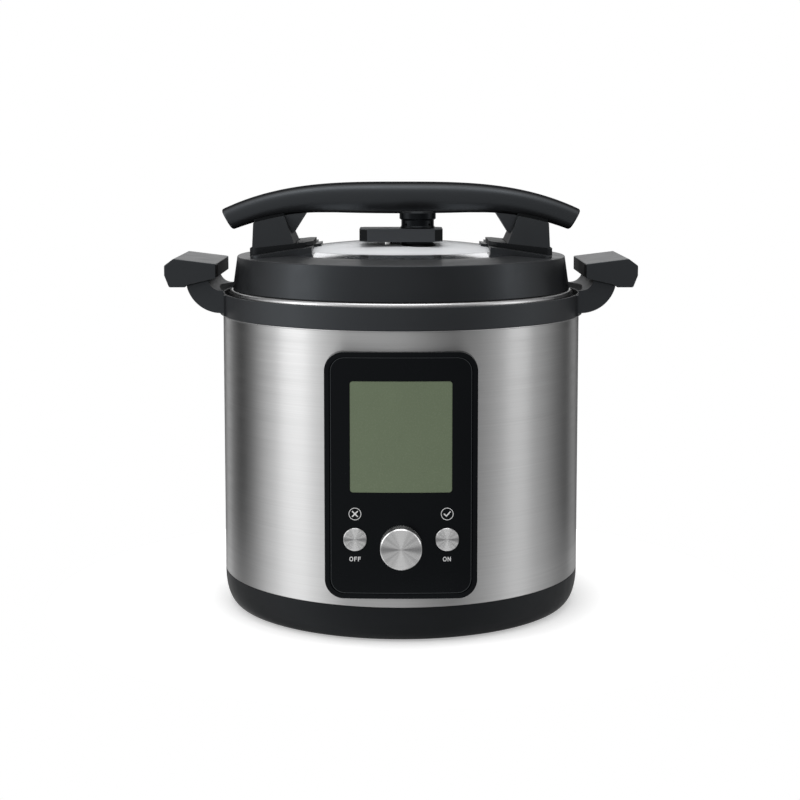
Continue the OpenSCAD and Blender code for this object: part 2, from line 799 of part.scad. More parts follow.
module encoder_body() {
    color([0.6, 0.6, 0.62])
    difference() {
        union() {
            facing(board_y - 6, board_y) translate([0, dial_z]) square([12, 12], center = true);
            bar_y(0, dial_z, shaft_r + 0.7, fascia_y + 0.3, board_y - 5);
        }
        bar_y(0, dial_z, shaft_r + run_fit, fascia_y - 1, board_y - 1);
    }
}

module encoder_shaft() {
    color([0.75, 0.75, 0.77]) bar_y(0, dial_z, shaft_r, panel_y - dial_out + 4, board_y - 1.3);
}

module button_switches() {
    color([0.2, 0.2, 0.2]) for (x = [-1, 1]) {
        facing(board_y - 3.5, board_y) translate([x * button_x, button_z]) square([6, 6], center = true);
        bar_y(x * button_x, button_z, 1.75, board_y - 4.2, board_y - 3);
    }
}

module control_tray() {
    color([0.16, 0.16, 0.17])
    difference() {
        union() {
            difference() {
                facing(-drum_r + 2.1, tray_y) translate([0, panel_mid])
                    square([opening_w - 1, opening_h - 2], center = true);
                facing(-drum_r - 3, tray_y - tray_wall) translate([0, panel_mid])
                    square([opening_w - 4, opening_h - 5], center = true);
            }
            for (x = [-1, 1], z = [-1, 1])
                bar_y(x * board_screw_x, panel_mid + z * board_screw_z, 3,
                    board_y + board_t, tray_y - 0.5);
        }
        for (x = [-1, 1], z = [-1, 1])
            bar_y(x * board_screw_x, panel_mid + z * board_screw_z, small_screw[0] + run_fit,
                board_y, tray_y - 0.6);
        facing(-drum_r, 0) translate([0, ribbon_z + ribbon_t / 2])
            square([ribbon_w + 1, ribbon_t + 1.2], center = true);
    }
}

module dial_knob() {
    front = panel_y - dial_out;
    back = panel_y - 0.1;
    r = dial_d / 2;
    color([0.82, 0.82, 0.84]) translate([0, back, dial_z]) rotate([90, 0, 0])
    difference() {
        rotate_extrude() polygon([[0, 0], [r, 0], [r, back - front - 0.8],
            [r - 0.8, back - front], [0, back - front]]);
        tube(r - 2, 6, -1, back - front - 5);
        translate([0, 0, -1]) cylinder(h = back - front - 2.9, r = shaft_r + run_fit);
    }
}

// A push button, with its face a little proud of the panel
module push_button(x) {
    face = fascia_y + x * x / (2 * panel_curve_r) - 1.4;
    color([0.82, 0.82, 0.84]) {
        translate([x, face + 3.8, button_z]) rotate([90, 0, 0]) rotate_extrude()
            polygon([[0, 0], [button_r, 0], [button_r, 3.3], [button_r - 0.5, 3.8], [0, 3.8]]);
        bar_y(x, button_z, 2.5, face + 3.7, board_y - 4.2 - slip - button_travel);
    }
}

module cancel_button() { push_button(-button_x); }
module start_button() { push_button(button_x); }

// ---- Condensation cup ----

module cup_bracket() {
    cheek_in = cup_w / 2 + 1;
    cheek_out = cup_w / 2 + 7;
    low = cup_flange_z - 3;
    color([0.1, 0.1, 0.11])
    difference() {
        union() {
            translate([-cheek_out, drum_r - 8, low]) cube([2 * cheek_out, 10, 8]);
            for (x = [-1, 1]) translate([x * (cheek_in + cheek_out) / 2, drum_r + 2.5, low + 4])
                cube([cheek_out - cheek_in, 21, 8], center = true);
        }
        translate([0, 0, low - 1]) cylinder(h = 10, r = drum_r, $fn = 240);
        for (x = [-1, 1]) translate([x * (cup_w / 2 + 2.2), drum_r + 10, cup_flange_z + 1])
            cube([4.4, 18 + 2 * cup_wall, 2.8], center = true);
        for (x = [-1, 1]) bar_y(x * cup_screw_x, cup_screw_z, small_screw[0] + run_fit,
            drum_r - 20, drum_r - 4.3 + small_screw[2] + cup_screw_len + 0.2);
    }
}

module condensate_cup() {
    depth = cup_back - cup_y;
    color([0.75, 0.78, 0.8, 0.6]) {
        difference() {
            translate([-cup_w / 2, cup_y, cup_z]) cube([cup_w, depth, cup_h]);
            translate([-cup_w / 2 + cup_wall, cup_y + cup_wall, cup_z + cup_wall])
                cube([cup_w - 2 * cup_wall, depth - 2 * cup_wall, cup_h]);
        }
        for (x = [-1, 1]) translate([x * (cup_w / 2 + 2) - 2, cup_y + 1.5, cup_flange_z])
            cube([4, 8, 2]);
    }
}

// ---- Removable pot ----

module inner_pot() {
    corner = 10;
    inner = pot_r - pot_wall;
    outer_pts = arc([pot_r - corner, pot_z + corner], corner, -90, 0, 8);
    inner_pts = arc([inner - corner + pot_wall, pot_z + pot_floor + corner - pot_wall],
        corner - pot_wall, 0, -90, 8);
    color([0.8, 0.8, 0.82]) rotate_extrude() polygon(concat(
        [[0, pot_z]], outer_pts,
        [[pot_r, pot_rim_z - 1.2], [well_r + 4.5, pot_rim_z - 1.2], [well_r + 4.5, pot_rim_z],
         [inner, pot_rim_z]],
        inner_pts, [[0, pot_z + pot_floor]]));
}

// ---- Lid ----

module sealing_ring() {
    out = skirt_in - slip;
    low = pot_rim_z + 0.6;
    lip = 7.5;
    color([0.85, 0.86, 0.86]) rotate_extrude() polygon([
        [out - lip, low], [out, low], [out, low + 10], [out - lip, low + 10],
        [out - lip, low + 8], [out - 2.5, low + 8], [out - 2.5, low + 2], [out - lip, low + 2]]);
}

module ring_cage() {
    color([0.75, 0.75, 0.77]) translate([0, 0, pot_rim_z + 5.6]) rotate_extrude()
        translate([skirt_in - slip - 7.5 - 1.7, 0]) circle(r = 1.5, $fn = 32);
}

dome_points = [for (i = [0:10]) let (a = shoulder_a * i / 10)
    [dome_curve_r * sin(a), dome_c + dome_curve_r * cos(a)]];
shoulder_c = [skirt_r - shoulder_r, dome_c + (dome_curve_r - shoulder_r) * cos(shoulder_a)];
shoulder_points = arc(shoulder_c, shoulder_r, 90 - shoulder_a, 0, 8);

// The pressed steel lid with its skirt and bayonet lugs
module lid_shell() {
    inner_dome = [for (i = [10:-1:0]) let (a = shoulder_a * i / 10)
        [(dome_curve_r - lid_sheet) * sin(a), dome_c + (dome_curve_r - lid_sheet) * cos(a)]];
    inner_shoulder = arc(shoulder_c, shoulder_r - lid_sheet, 0, 90 - shoulder_a, 8);
    color([0.83, 0.84, 0.86])
    difference() {
        union() {
            rotate_extrude($fn = 240) polygon(concat(dome_points, shoulder_points,
                [[skirt_r, lug_z], [skirt_in, lug_z]], inner_shoulder, inner_dome));
            for (i = [0:lug_count - 1]) rotate([0, 0, i * 360 / lug_count - lug_angle / 2])
                rotate_extrude(angle = lug_angle)
                    translate([skirt_in + 0.2, lug_z]) square([lug_r - skirt_in - 0.2, lug_h]);
            at_angles([45, 135, 225, 315], skirt_in + 0.2)
                translate([0, -4, lid_tab_z]) cube([lid_tab_r + 2.5 - skirt_in, 8, lid_tab_t]);
        }
        translate([valve_x, -valve_y, crown_z - 12]) cylinder(h = 20, r = pipe_r + fit);
        translate([float_x, float_y, crown_z - 12]) cylinder(h = 20, r = float_r + 0.4);
        handle_bolt_places() translate([0, 0, crown_z - 30]) cylinder(h = 40, r = bolt_r + fit);
        at_angles([45, 135, 225, 315], lid_tab_r)
            translate([0, 0, lid_tab_z - 1]) cylinder(h = 4, r = 1.5 + fit);
    }
}

lid_tab_r = skirt_r + 3.1;
lid_tab_z = shoulder_c[1] - 0.9;
lid_tab_t = 1.5;
lid_screw_len = 5.8;

module lid_ring() {
    wall = 2.3;
    seam = dome_z(dome_edge_r);
    lean = lid_taper / lid_ring_h;
    under = [for (i = [8:-1:1]) if (shoulder_points[i][1] > crease_z - 5) shoulder_points[i]];
    rest = [for (i = [10:-1:0]) if (dome_points[i][0] > dome_edge_r) dome_points[i]];
    boss_top = crease_z - wall - 0.5;
    color([0.14, 0.14, 0.15])
    difference() {
        union() {
            rotate_extrude($fn = 240) polygon(concat(
                [[dome_edge_r, seam], [dome_edge_r + 0.3, seam + 0.5], [crease_r - 0.6, crease_z],
                 [crease_r, crease_z - 0.6], [lid_r, lid_z], [lid_r - wall, lid_z],
                 [crease_r - wall + lean * wall, crease_z - wall - 2]],
                [[skirt_r + 2, crease_z - wall - 2]],
                under, rest));
            at_angles([45, 135, 225, 315], lid_tab_r) translate([0, 0, lid_tab_z + lid_tab_t])
                cylinder(h = boss_top - lid_tab_z - lid_tab_t, r = 2.8);
        }
        at_angles([45, 135, 225, 315], lid_tab_r)
            translate([0, 0, lid_tab_z]) cylinder(h = lid_tab_t + lid_screw_len + 0.5, r = 1.5 + run_fit);
    }
}

module ring_screws() {
    color([0.7, 0.7, 0.72]) at_angles([45, 135, 225, 315], lid_tab_r)
        screw([1.5, 2.4, 1.6], lid_tab_z - 1.6, lid_tab_t + lid_screw_len);
}

// The dome and the ring's top as one solid, that the handle's feet sit on
module lid_top_solid() {
    seam = dome_z(dome_edge_r);
    rotate_extrude($fn = 240) polygon(concat([[0, crown_z - 30]],
        [for (p = dome_points) if (p[0] < dome_edge_r) p],
        [[dome_edge_r, seam], [dome_edge_r + 0.3, seam + 0.5], [crease_r - 0.6, crease_z],
         [crease_r, crease_z - 0.6], [crease_r, crown_z - 30]]));
}

module handle_bolt_places() {
    for (x = [-1, 1], y = [-1, 1]) translate([x * bolt_x, y * bolt_y, 0]) children();
}

// Rounded plan shape of a foot, between two distances from the middle
module foot_plan(inner, outer, half, z0, z1) {
    r = 9;
    translate([0, 0, z0]) linear_extrude(z1 - z0) union() {
        translate([inner, -half]) square([outer - inner - r, 2 * half]);
        translate([inner, -half + r]) square([outer - inner, 2 * (half - r)]);
        for (y = [-1, 1]) translate([outer - r, y * (half - r)]) circle(r = r);
    }
}

function foot_line(x) = foot_top_in + foot_slope * (x - foot_in);
function flange_line(x) = flange_top_in + flange_slope * (x - flange_in);

// Foot plate on the +X side, with a tongue towards the lid's middle
module foot_plate() {
    tongue = 58;
    tongue_half = 15;
    difference() {
        union() {
            intersection() {
                foot_plan(foot_in, foot_out, foot_half, crown_z - 20, crown_z + 5);
                facing(-60, 60) polygon([
                    [foot_in - 1, crown_z - 20], [foot_in - 1, foot_line(foot_in - 1)],
                    [foot_out + 1, foot_line(foot_out + 1)], [foot_out + 1, crown_z - 20]]);
            }
            facing(-tongue_half, tongue_half) polygon([
                [tongue, crown_z - 8], [tongue, foot_line(tongue)],
                [foot_in + 2, foot_line(foot_in + 2)], [foot_in + 2, crown_z - 8]]);
        }
        lid_top_solid();
        handle_bolt_places() translate([0, 0, crown_z - 30]) cylinder(h = 40, r = bolt_r + fit);
    }
}

// Pillar with its flange and inner web, on the +X side
module pillar() {
    low_in = 79;
    low_out = 106.6;
    low_half = flange_half - 2;
    top_half = bar_depth / 2;
    bevel = 5;
    web_low = bar_low_z - 15.6;
    difference() {
        union() {
            intersection() {
                translate([0, 0, crown_z - 20]) linear_extrude(30) polygon([
                    [flange_in, 9 - flange_half], [flange_in + bevel, -flange_half],
                    [flange_out - 7, -flange_half], [flange_out, 7 - flange_half],
                    [flange_out, flange_half - 7], [flange_out - 7, flange_half],
                    [flange_in + bevel, flange_half], [flange_in, flange_half - 9]]);
                facing(-60, 60) polygon([
                    [flange_in - 1, foot_line(flange_in - 1)],
                    [flange_in - 1, flange_line(flange_in - 1)],
                    [flange_out + 1, flange_line(flange_out + 1)],
                    [flange_out + 1, crown_z - 20], [foot_out, crown_z - 20],
                    [foot_out, foot_line(foot_out)]]);
            }
            hull() {
                translate([low_in, -low_half, flange_line(low_in) - 0.5])
                    cube([0.01, 2 * low_half, 0.5]);
                translate([low_out, -low_half, flange_line(low_out) - 0.5])
                    cube([0.01, 2 * low_half, 0.5]);
                translate([85.5, -top_half, bar_low_z]) cube([21.2, 2 * top_half, 0.01]);
            }
            facing(-12, 12) polygon([
                [68, bar_low_z + 1], [92, bar_low_z + 1], [92, web_low + 3], [84, web_low + 3],
                [78.2, web_low], [68, bar_low_z - 1]]);
        }
        facing(-60, 60) polygon(concat(seat_line, [[130, bar_low_z - 12.3], [130, bar_low_z + 20],
            [60, bar_low_z + 20], [60, bar_low_z - 0.1]]));
        lid_top_solid();
        handle_bolt_places() translate([0, 0, crown_z - 30]) cylinder(h = 90, r = bolt_r + fit);
    }
}

module foot_right() { color([0.12, 0.12, 0.13]) foot_plate(); }
module foot_left() { color([0.12, 0.12, 0.13]) mirror([1, 0, 0]) foot_plate(); }
module pillar_right() { color([0.14, 0.14, 0.15]) pillar(); }
module pillar_left() { color([0.14, 0.14, 0.15]) mirror([1, 0, 0]) pillar(); }

function bar_top(x) = bar_top_z - bar_droop * pow(abs(x) / bar_half, 3.1);
function bar_low(x) = bar_low_z
    - bar_fall * pow(max(0, abs(x) - bar_flat) / (bar_half_low - bar_flat), 1.9);
function power(v, e) = sign(v) * pow(abs(v), e);

module bridge_handle() {
    stations = 34;
    around = 28;
    rings = [for (i = [0:stations], k = [0:around - 1])
        let (t = 2 * i / stations - 1, a = 360 * k / around,
            high = [t * bar_half, bar_top(t * bar_half)],
            low = [t * bar_half_low, bar_low(t * bar_half_low)],
            s = (power(sin(a), 0.8) + 1) / 2, at = low + s * (high - low),
            half = bar_depth / 2 * (1 - 0.12 * pow(abs(t), 2)))
        [at[0], half * power(cos(a), 0.62), at[1]]];
    walls = [for (i = [0:stations - 1], k = [0:around - 1]) let (m = (k + 1) % around)
        [i * around + k, i * around + m, (i + 1) * around + m, (i + 1) * around + k]];
    first = [for (k = [around - 1:-1:0]) k];
    last = [for (k = [0:around - 1]) stations * around + k];
    color([0.13, 0.13, 0.14])
    difference() {
        polyhedron(rings, concat(walls, [first, last]), convexity = 4);
        for (x = [0, 1]) mirror([x, 0, 0]) facing(-40, 40) polygon(concat(seat_line,
            [[108, bar_low_z - 30], [66, bar_low_z - 30]]));
        handle_bolt_places() translate([0, 0, bar_low_z - 20])
            cylinder(h = bolt_top - bar_low_z + 21, r = bolt_r + run_fit);
    }
}

module handle_bolts() {
    head_z = dome_z(bolt_x + bolt_r * 2.6) - lid_sheet - bolt_head_h - 0.4;
    color([0.75, 0.75, 0.77]) handle_bolt_places()
        screw([bolt_r, 4.2, bolt_head_h], head_z, bolt_top - head_z - bolt_head_h);
}

// ---- Valves ----

module valve_cover() {
    bevel = 5.7;
    front = cover_front;
    back = cover_front + cover_depth;
    color([0.15, 0.15, 0.16])
    difference() {
        translate([0, 0, cover_z]) linear_extrude(cover_h) polygon([
            [-cover_w / 2 + bevel, front], [cover_w / 2 - bevel, front],
            [cover_w / 2, front + bevel], [cover_w / 2, back - 3], [cover_w / 2 - 3, back],
            [-cover_w / 2 + 3, back], [-cover_w / 2, back - 3], [-cover_w / 2, front + bevel]]);
        translate([valve_x, -valve_y, cover_z - 1]) cylinder(h = cover_h + 2, r = pipe_r + fit);
        translate([float_x, float_y, cover_z - 1]) cylinder(h = cover_h + 2, r = float_r + 0.4);
    }
}

module vent_pipe() {
    color([0.75, 0.75, 0.77]) translate([valve_x, -valve_y, 0])
    difference() {
        union() {
            translate([0, 0, crown_z - 11.5]) cylinder(h = cover_top + 5.2 - crown_z + 11.5, r = pipe_r);
            difference() {
                translate([0, 0, crown_z - 4]) cylinder(h = cover_z - crown_z + 4, r = 6.5);
                translate([-valve_x, valve_y, dome_c]) sphere(r = dome_curve_r, $fn = 360);
            }
        }
        translate([0, 0, crown_z - 13]) cylinder(h = 60, r = 1.5);
    }
}

module vent_nut() {
    color([0.75, 0.75, 0.77]) translate([valve_x, -valve_y, crown_z - 7.8])
    difference() {
        cylinder(h = 4, r = 8, $fn = 6);
        translate([0, 0, -1]) cylinder(h = 6, r = pipe_r + run_fit);
    }
}

module valve_gasket() {
    color([0.03, 0.03, 0.03]) difference() {
        translate([valve_x, -valve_y, crown_z - 6]) cylinder(h = cover_z - crown_z + 6, r = 13);
        translate([0, 0, dome_c]) sphere(r = dome_curve_r, $fn = 360);
        translate([valve_x, -valve_y, crown_z - 7]) cylinder(h = 12, r = 6.6);
    }
}

module vent_shield() {
    out = 12;
    low = crown_z - 19;
    color([0.78, 0.78, 0.8]) translate([valve_x, -valve_y, low])
    difference() {
        cylinder(h = 9.5, r = out);
        translate([0, 0, 1]) cylinder(h = 7.3, r = out - 1);
        translate([0, 0, 5]) cylinder(h = 6, r = pipe_r + run_fit);
        for (a = [0:45:315]) rotate([0, 0, a]) translate([out, 0, 4.6]) cube([5, 3, 5], center = true);
    }
}

module valve_knob() {
    low_r = valve_knob_r - 1;
    h = valve_knob_h;
    color([0.08, 0.08, 0.09]) translate([valve_x, -valve_y, cover_top + slip])
    difference() {
        rotate_extrude() polygon([
            [0, 0], [low_r + 0.3, 0], [low_r + 0.3, 0.8], [low_r - 0.3, 1.6], [low_r - 0.3, h - 6.4],
            [valve_knob_r, h - 5.4], [valve_knob_r, h - 1.4], [valve_knob_r - 1.4, h], [0, h]]);
        translate([0, 0, -1]) cylinder(h = 6.6, r = pipe_r + run_fit);
        for (a = [0:90:270]) rotate([0, 90, a + 45]) translate([-2.6, 0, 6]) cylinder(h = 10, r = 0.9);
    }
}

module float_pin() {
    top = cover_top - 1.5;
    color([0.8, 0.8, 0.82]) translate([float_x, float_y, 0]) {
        translate([0, 0, crown_z - 13]) cylinder(h = top - crown_z + 13, r = float_r);
        translate([0, 0, crown_z - 13]) cylinder(h = 1.6, r = 5);
    }
}

module float_seal() {
    color([0.7, 0.2, 0.15]) translate([float_x, float_y, 0])
        tube(5.4, float_r + run_fit, crown_z - 11.4, crown_z - 9.4);
}

// ---- Assembly ----

base_tub();
rubber_feet();
base_screws();
housing_drum();
collar_ring();
liner_pot();
heater_plate();
heater_tube();
heater_screws();
probe_bracket();
probe_spring();
thermal_fuse();
power_board();
board_relay();
board_transformer();
small_screws();
inlet_socket();
inlet_pins();
mains_leads();
ribbon_cable();
control_bezel();
control_fascia();
lcd_glass();
lcd_frame();
display_board();
encoder_body();
button_switches();
control_tray();
handle_arm_left();
handle_arm_right();
handle_grip_left();
handle_grip_right();
handle_screws();
cup_bracket();
dial_knob();
encoder_shaft();
cancel_button();
start_button();
probe_cup();
condensate_cup();
inner_pot();
sealing_ring();
ring_cage();
lid_shell();
lid_ring();
ring_screws();
foot_left();
foot_right();
pillar_left();
pillar_right();
bridge_handle();
handle_bolts();
valve_cover();
vent_pipe();
vent_nut();
valve_gasket();
vent_shield();
valve_knob();
float_pin();
float_seal();
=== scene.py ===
"""The looks of the yogurt maker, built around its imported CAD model.

Everything is in the model's own frame: metres, +Z up, the drum's axis at x = y = 0 and the control
panel facing -Y. The helpers take millimetres and turn them into metres where a mesh is made.
"""

import json
import math

import bmesh
import bpy
from mathutils import Matrix, Vector


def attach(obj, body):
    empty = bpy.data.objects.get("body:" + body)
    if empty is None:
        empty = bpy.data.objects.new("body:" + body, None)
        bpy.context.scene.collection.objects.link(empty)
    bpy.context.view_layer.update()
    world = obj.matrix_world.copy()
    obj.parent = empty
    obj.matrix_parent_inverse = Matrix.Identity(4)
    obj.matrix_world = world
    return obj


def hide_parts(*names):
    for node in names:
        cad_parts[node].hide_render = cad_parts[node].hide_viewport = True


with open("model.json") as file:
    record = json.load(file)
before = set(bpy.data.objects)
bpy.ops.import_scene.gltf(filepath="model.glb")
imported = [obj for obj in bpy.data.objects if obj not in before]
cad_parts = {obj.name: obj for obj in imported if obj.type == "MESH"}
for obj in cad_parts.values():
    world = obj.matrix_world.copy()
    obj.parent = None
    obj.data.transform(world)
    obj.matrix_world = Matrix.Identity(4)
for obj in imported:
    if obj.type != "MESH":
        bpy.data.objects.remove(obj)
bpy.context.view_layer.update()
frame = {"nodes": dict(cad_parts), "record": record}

MM = 0.001
scene = bpy.context.scene

# ---- Camera, at the photograph's place ----

CAMERA_PLACE = (0.0, -1.2322, 0.3346)
CAMERA_PITCH = 84.03
CAMERA_LENS = 75.69
CAMERA_SHIFT = (-0.0013, -0.1)


def make_camera():
    data = bpy.data.cameras.new("camera")
    data.lens = CAMERA_LENS
    data.sensor_width = 36.0
    data.shift_x, data.shift_y = CAMERA_SHIFT
    camera = bpy.data.objects.new("camera", data)
    camera.location = CAMERA_PLACE
    camera.rotation_euler = (math.radians(CAMERA_PITCH), 0.0, 0.0)
    scene.collection.objects.link(camera)
    scene.camera = camera


make_camera()
scene.view_settings.view_transform = "Standard"

# ---- Node trees ----


class Graph:
    """A node tree under construction, with short calls for the nodes that are used here."""

    def __init__(self, tree):
        self.tree = tree

    def node(self, kind, **settings):
        made = self.tree.nodes.new(kind)
        for key, value in settings.items():
            setattr(made, key, value)
        return made

    def link(self, source, target):
        self.tree.links.new(source, target)

    def give(self, target, value):
        """Gives an input a plain value, or links another node's output to it."""
        if isinstance(value, bpy.types.NodeSocket):
            self.link(value, target)
        else:
            target.default_value = value

    def feed(self, node, *values):
        """Gives a node's first inputs their values, in order."""
        for target, value in zip(node.inputs, values):
            self.give(target, value)

    def value(self, operation, *values):
        made = self.node("ShaderNodeMath", operation=operation)
        self.feed(made, *values)
        return made.outputs["Value"]

    def vector(self, operation, *values):
        """LENGTH gives a value, and every other operation a vector."""
        made = self.node("ShaderNodeVectorMath", operation=operation)
        self.feed(made, *values)
        return made.outputs["Value" if operation == "LENGTH" else "Vector"]

    def split(self, source):
        """A vector's X, Y and Z."""
        made = self.node("ShaderNodeSeparateXYZ")
        self.link(source, made.inputs["Vector"])
        return [made.outputs[axis] for axis in "XYZ"]

    def ramp(self, source, low, high, start=0.3, end=0.7, course="LINEAR"):
        """Maps a value between start and end onto low to high."""
        made = self.node("ShaderNodeMapRange", interpolation_type=course)
        self.feed(made, source, start, end, low, high)
        return made.outputs["Result"]

    def stops(self, source, levels):
        """A grey that follows a list of (position, level)."""
        made = self.node("ShaderNodeValToRGB")
        stops = made.color_ramp.elements
        while len(stops) < len(levels):
            stops.new(0.5)
        for stop, (position, level) in zip(stops, levels):
            stop.position = position
            stop.color = (level, level, level, 1.0)
        self.link(source, made.inputs["Fac"])
        return made.outputs["Color"]

    def blend(self, source, first, second):
        """A colour between two colours, each of them three numbers or another node's output."""
        made = self.node("ShaderNodeMix", data_type="RGBA")
        self.link(source, made.inputs["Factor"])
        for side, colour in (("A", first), ("B", second)):
            self.give(made.inputs[side], (*colour, 1.0) if isinstance(colour, tuple) else colour)
        return made.outputs["Result"]


# ---- Materials ----


class Recipe(Graph):
    """A material under construction, around its Principled shader."""

    def __init__(self, name):
        self.material = bpy.data.materials.new(name)
        self.material.use_nodes = True
        super().__init__(self.material.node_tree)
        self.shader = self.tree.nodes["Principled BSDF"]
        self.place = self.node("ShaderNodeTexCoord").outputs["Object"]

    def stretched(self, scale):
        """Places in metres, multiplied by a scale along each axis."""
        mapping = self.node("ShaderNodeMapping")
        mapping.inputs["Scale"].default_value = scale
        self.link(self.place, mapping.inputs["Vector"])
        return mapping.outputs["Vector"]

    def noise(self, scale, detail=3.0, rough=0.5, source=None):
        made = self.node("ShaderNodeTexNoise")
        made.inputs["Scale"].default_value = scale
        made.inputs["Detail"].default_value = detail
        made.inputs["Roughness"].default_value = rough
        self.link(source or self.place, made.inputs["Vector"])
        return made.outputs["Fac"]

    def rings(self, radius, scale, detail):
        """A noise of rings, by how far out a spot lies."""
        made = self.node("ShaderNodeTexNoise", noise_dimensions="1D")
        made.inputs["Scale"].default_value = scale
        made.inputs["Detail"].default_value = detail
        self.link(radius, made.inputs["W"])
        return made.outputs["Fac"]

    def edge_on(self):
        """From 0 where a surface is seen square on to 1 where it is seen edge on."""
        made = self.node("ShaderNodeLayerWeight")
        made.inputs["Blend"].default_value = 0.5
        return made.outputs["Facing"]

    def bump(self, source, strength, distance):
        """Distance is the height in metres that a full step of the source stands for."""
        made = self.node("ShaderNodeBump")
        made.inputs["Strength"].default_value = strength
        made.inputs["Distance"].default_value = distance
        self.link(source, made.inputs["Height"])
        self.link(made.outputs["Normal"], self.shader.inputs["Normal"])

    def colour(self, source):
        self.link(source, self.shader.inputs["Base Color"])

    def mottle(self, source, colour, darker, lighter):
        """Colours the surface between two shades of a colour."""
        self.colour(self.blend(source, shade(colour, darker), shade(colour, lighter)))

    def roughness(self, source):
        self.link(source, self.shader.inputs["Roughness"])

    def brush_lines(self, amount, axis):
        """Spreads the gloss across fine lines that run round an axis."""
        self.set(Anisotropic=amount, Anisotropic_Rotation=ACROSS_LINES)
        tangent = self.node("ShaderNodeTangent", direction_type="RADIAL", axis=axis)
        self.link(tangent.outputs["Tangent"], self.shader.inputs["Tangent"])

    def set(self, **values):
        for key, value in values.items():
            self.shader.inputs[key.replace("_", " ")].default_value = value


def shade(colour, factor):
    return tuple(min(1.0, c * factor) for c in colour)


COOL_TINT = (0.84, 0.92, 1.0, 1.0)
ACROSS_LINES = 0.25


def moulded(name, colour, rough, depth=0.00002, specular=0.5, dull_edge=None):
    """Moulded plastic or rubber: a fine grain, and a slow drift in colour and gloss.

    With dull_edge, gloss fades out between those two values of how edge on the surface is seen.
    """
    m = Recipe(name)
    m.mottle(m.noise(14.0, 4.0), colour, 0.86, 1.16)
    m.roughness(m.ramp(m.noise(60.0, 5.0), rough - 0.04, rough + 0.05))
    m.bump(m.noise(1800.0, 2.0, 0.6), 0.5, depth)
    m.set(Specular_IOR_Level=specular, Specular_Tint=COOL_TINT)
    if dull_edge:
        fading = m.ramp(m.edge_on(), specular, 0.0, *dull_edge)
        m.link(fading, m.shader.inputs["Specular IOR Level"])
    return m.material


def brushed(name, colour, rough, streaks):
    """Metal brushed round the machine's axis. Streaks are long along the axes with a low scale."""
    m = Recipe(name)
    lines = m.noise(1.0, 3.0, 0.6, m.stretched(streaks))
    wide = m.noise(1.0, 2.0, 0.5, m.stretched(tuple(s * 0.12 for s in streaks)))
    m.mottle(lines, colour, 0.9, 1.09)
    m.roughness(m.ramp(wide, rough - 0.05, rough + 0.06))
    m.bump(lines, 0.3, 0.000004)
    m.set(Metallic=1.0)
    m.brush_lines(0.92, "Z")
    return m.material


# A cross sheen painted into a turned face: how bright it is painted, by how far a spot lies from
# level (0) to upright (1) off its middle
PAINTED_SPUN_SHEEN = [(0.0, 0.0), (0.12, 0.12), (0.3, 0.62), (0.48, 0.7), (0.62, 0.42), (0.76, 0.72),
              (0.88, 0.6), (0.97, 0.88), (1.0, 0.9)]


def spun(name, colour, rough):
    """Metal turned about an axis along Y through its piece: rings, and a cross sheen painted into
    its colour.
    """
    m = Recipe(name)
    generated = m.node("ShaderNodeTexCoord").outputs["Generated"]
    centred = m.vector("SUBTRACT", generated, (0.5, 0.5, 0.5))
    flat = m.vector("MULTIPLY", centred, (2.0, 0.0, 2.0))
    ring = m.rings(m.vector("LENGTH", flat), 60.0, 3.0)
    upright = m.value("ABSOLUTE", m.split(m.vector("NORMALIZE", flat))[2])
    # Painted highlight: the colour is lighter above and below the middle and darker at the sides,
    # and it turns with the piece
    rings_and_painted_sheen = m.value("MULTIPLY_ADD", ring, 0.12, m.stops(upright, PAINTED_SPUN_SHEEN))
    m.mottle(rings_and_painted_sheen, colour, 0.45, 1.28)
    m.roughness(m.ramp(ring, rough - 0.05, rough + 0.05))
    m.bump(ring, 0.4, 0.00001)
    m.set(Metallic=1.0)
    m.brush_lines(0.8, "Y")
    return m.material


def polished(name, colour, rough, cloud=30.0):
    """Satin to polished metal, with faint clouding."""
    m = Recipe(name)
    m.mottle(m.noise(cloud, 4.0), colour, 0.95, 1.03)
    m.roughness(m.ramp(m.noise(cloud * 6.0, 5.0), rough - 0.03, rough + 0.04))
    m.bump(m.noise(4000.0, 2.0), 0.2, 0.000002)
    m.set(Metallic=1.0)
    return m.material


SATIN_EDGE = (0.074, 0.079)
# How edge on the dome must be seen for its painted dark line to come in, and the colour of that
# line
PAINTED_HORIZON_EDGE = (0.945, 0.975)
PAINTED_HORIZON_DARK = (0.05, 0.055, 0.06)


def lid_steel(name, colour):
    """A steel lid turned to a satin in the middle and left bright near and past its edge, with a
    dark line painted along the far side of its dome.
    """
    m = Recipe(name)
    radius = m.vector("LENGTH", m.vector("MULTIPLY", m.place, (1.0, 1.0, 0.0)))
    turned = m.blend(m.rings(radius, 1500.0, 1.0), shade(colour, 0.97), shade(colour, 1.02))
    m.roughness(m.ramp(radius, 0.55, 0.13, *SATIN_EDGE))
    m.link(m.ramp(radius, 0.25, 1.0, *SATIN_EDGE), m.shader.inputs["Metallic"])
    # Painted reflection: where the dome is seen edge on, its far side is painted as a thin dark
    # line
    m.colour(m.blend(m.ramp(m.edge_on(), 0.0, 1.0, *PAINTED_HORIZON_EDGE), turned, PAINTED_HORIZON_DARK))
    return m.material


def display_glass(name, colour):
    """A display that is switched off: a faint mottle under smooth glass."""
    m = Recipe(name)
    m.mottle(m.noise(45.0), colour, 0.94, 1.06)
    m.roughness(m.ramp(m.noise(900.0, 2.0), 0.22, 0.3))
    m.set(Specular_IOR_Level=0.35)
    return m.material


def clear_plastic(name, colour):
    m = Recipe(name)
    m.mottle(m.noise(25.0), colour, 0.97, 1.0)
    m.roughness(m.ramp(m.noise(200.0), 0.08, 0.16))
    m.bump(m.noise(120.0, 2.0), 0.15, 0.00002)
    m.set(Transmission_Weight=0.85, IOR=1.49)
    return m.material


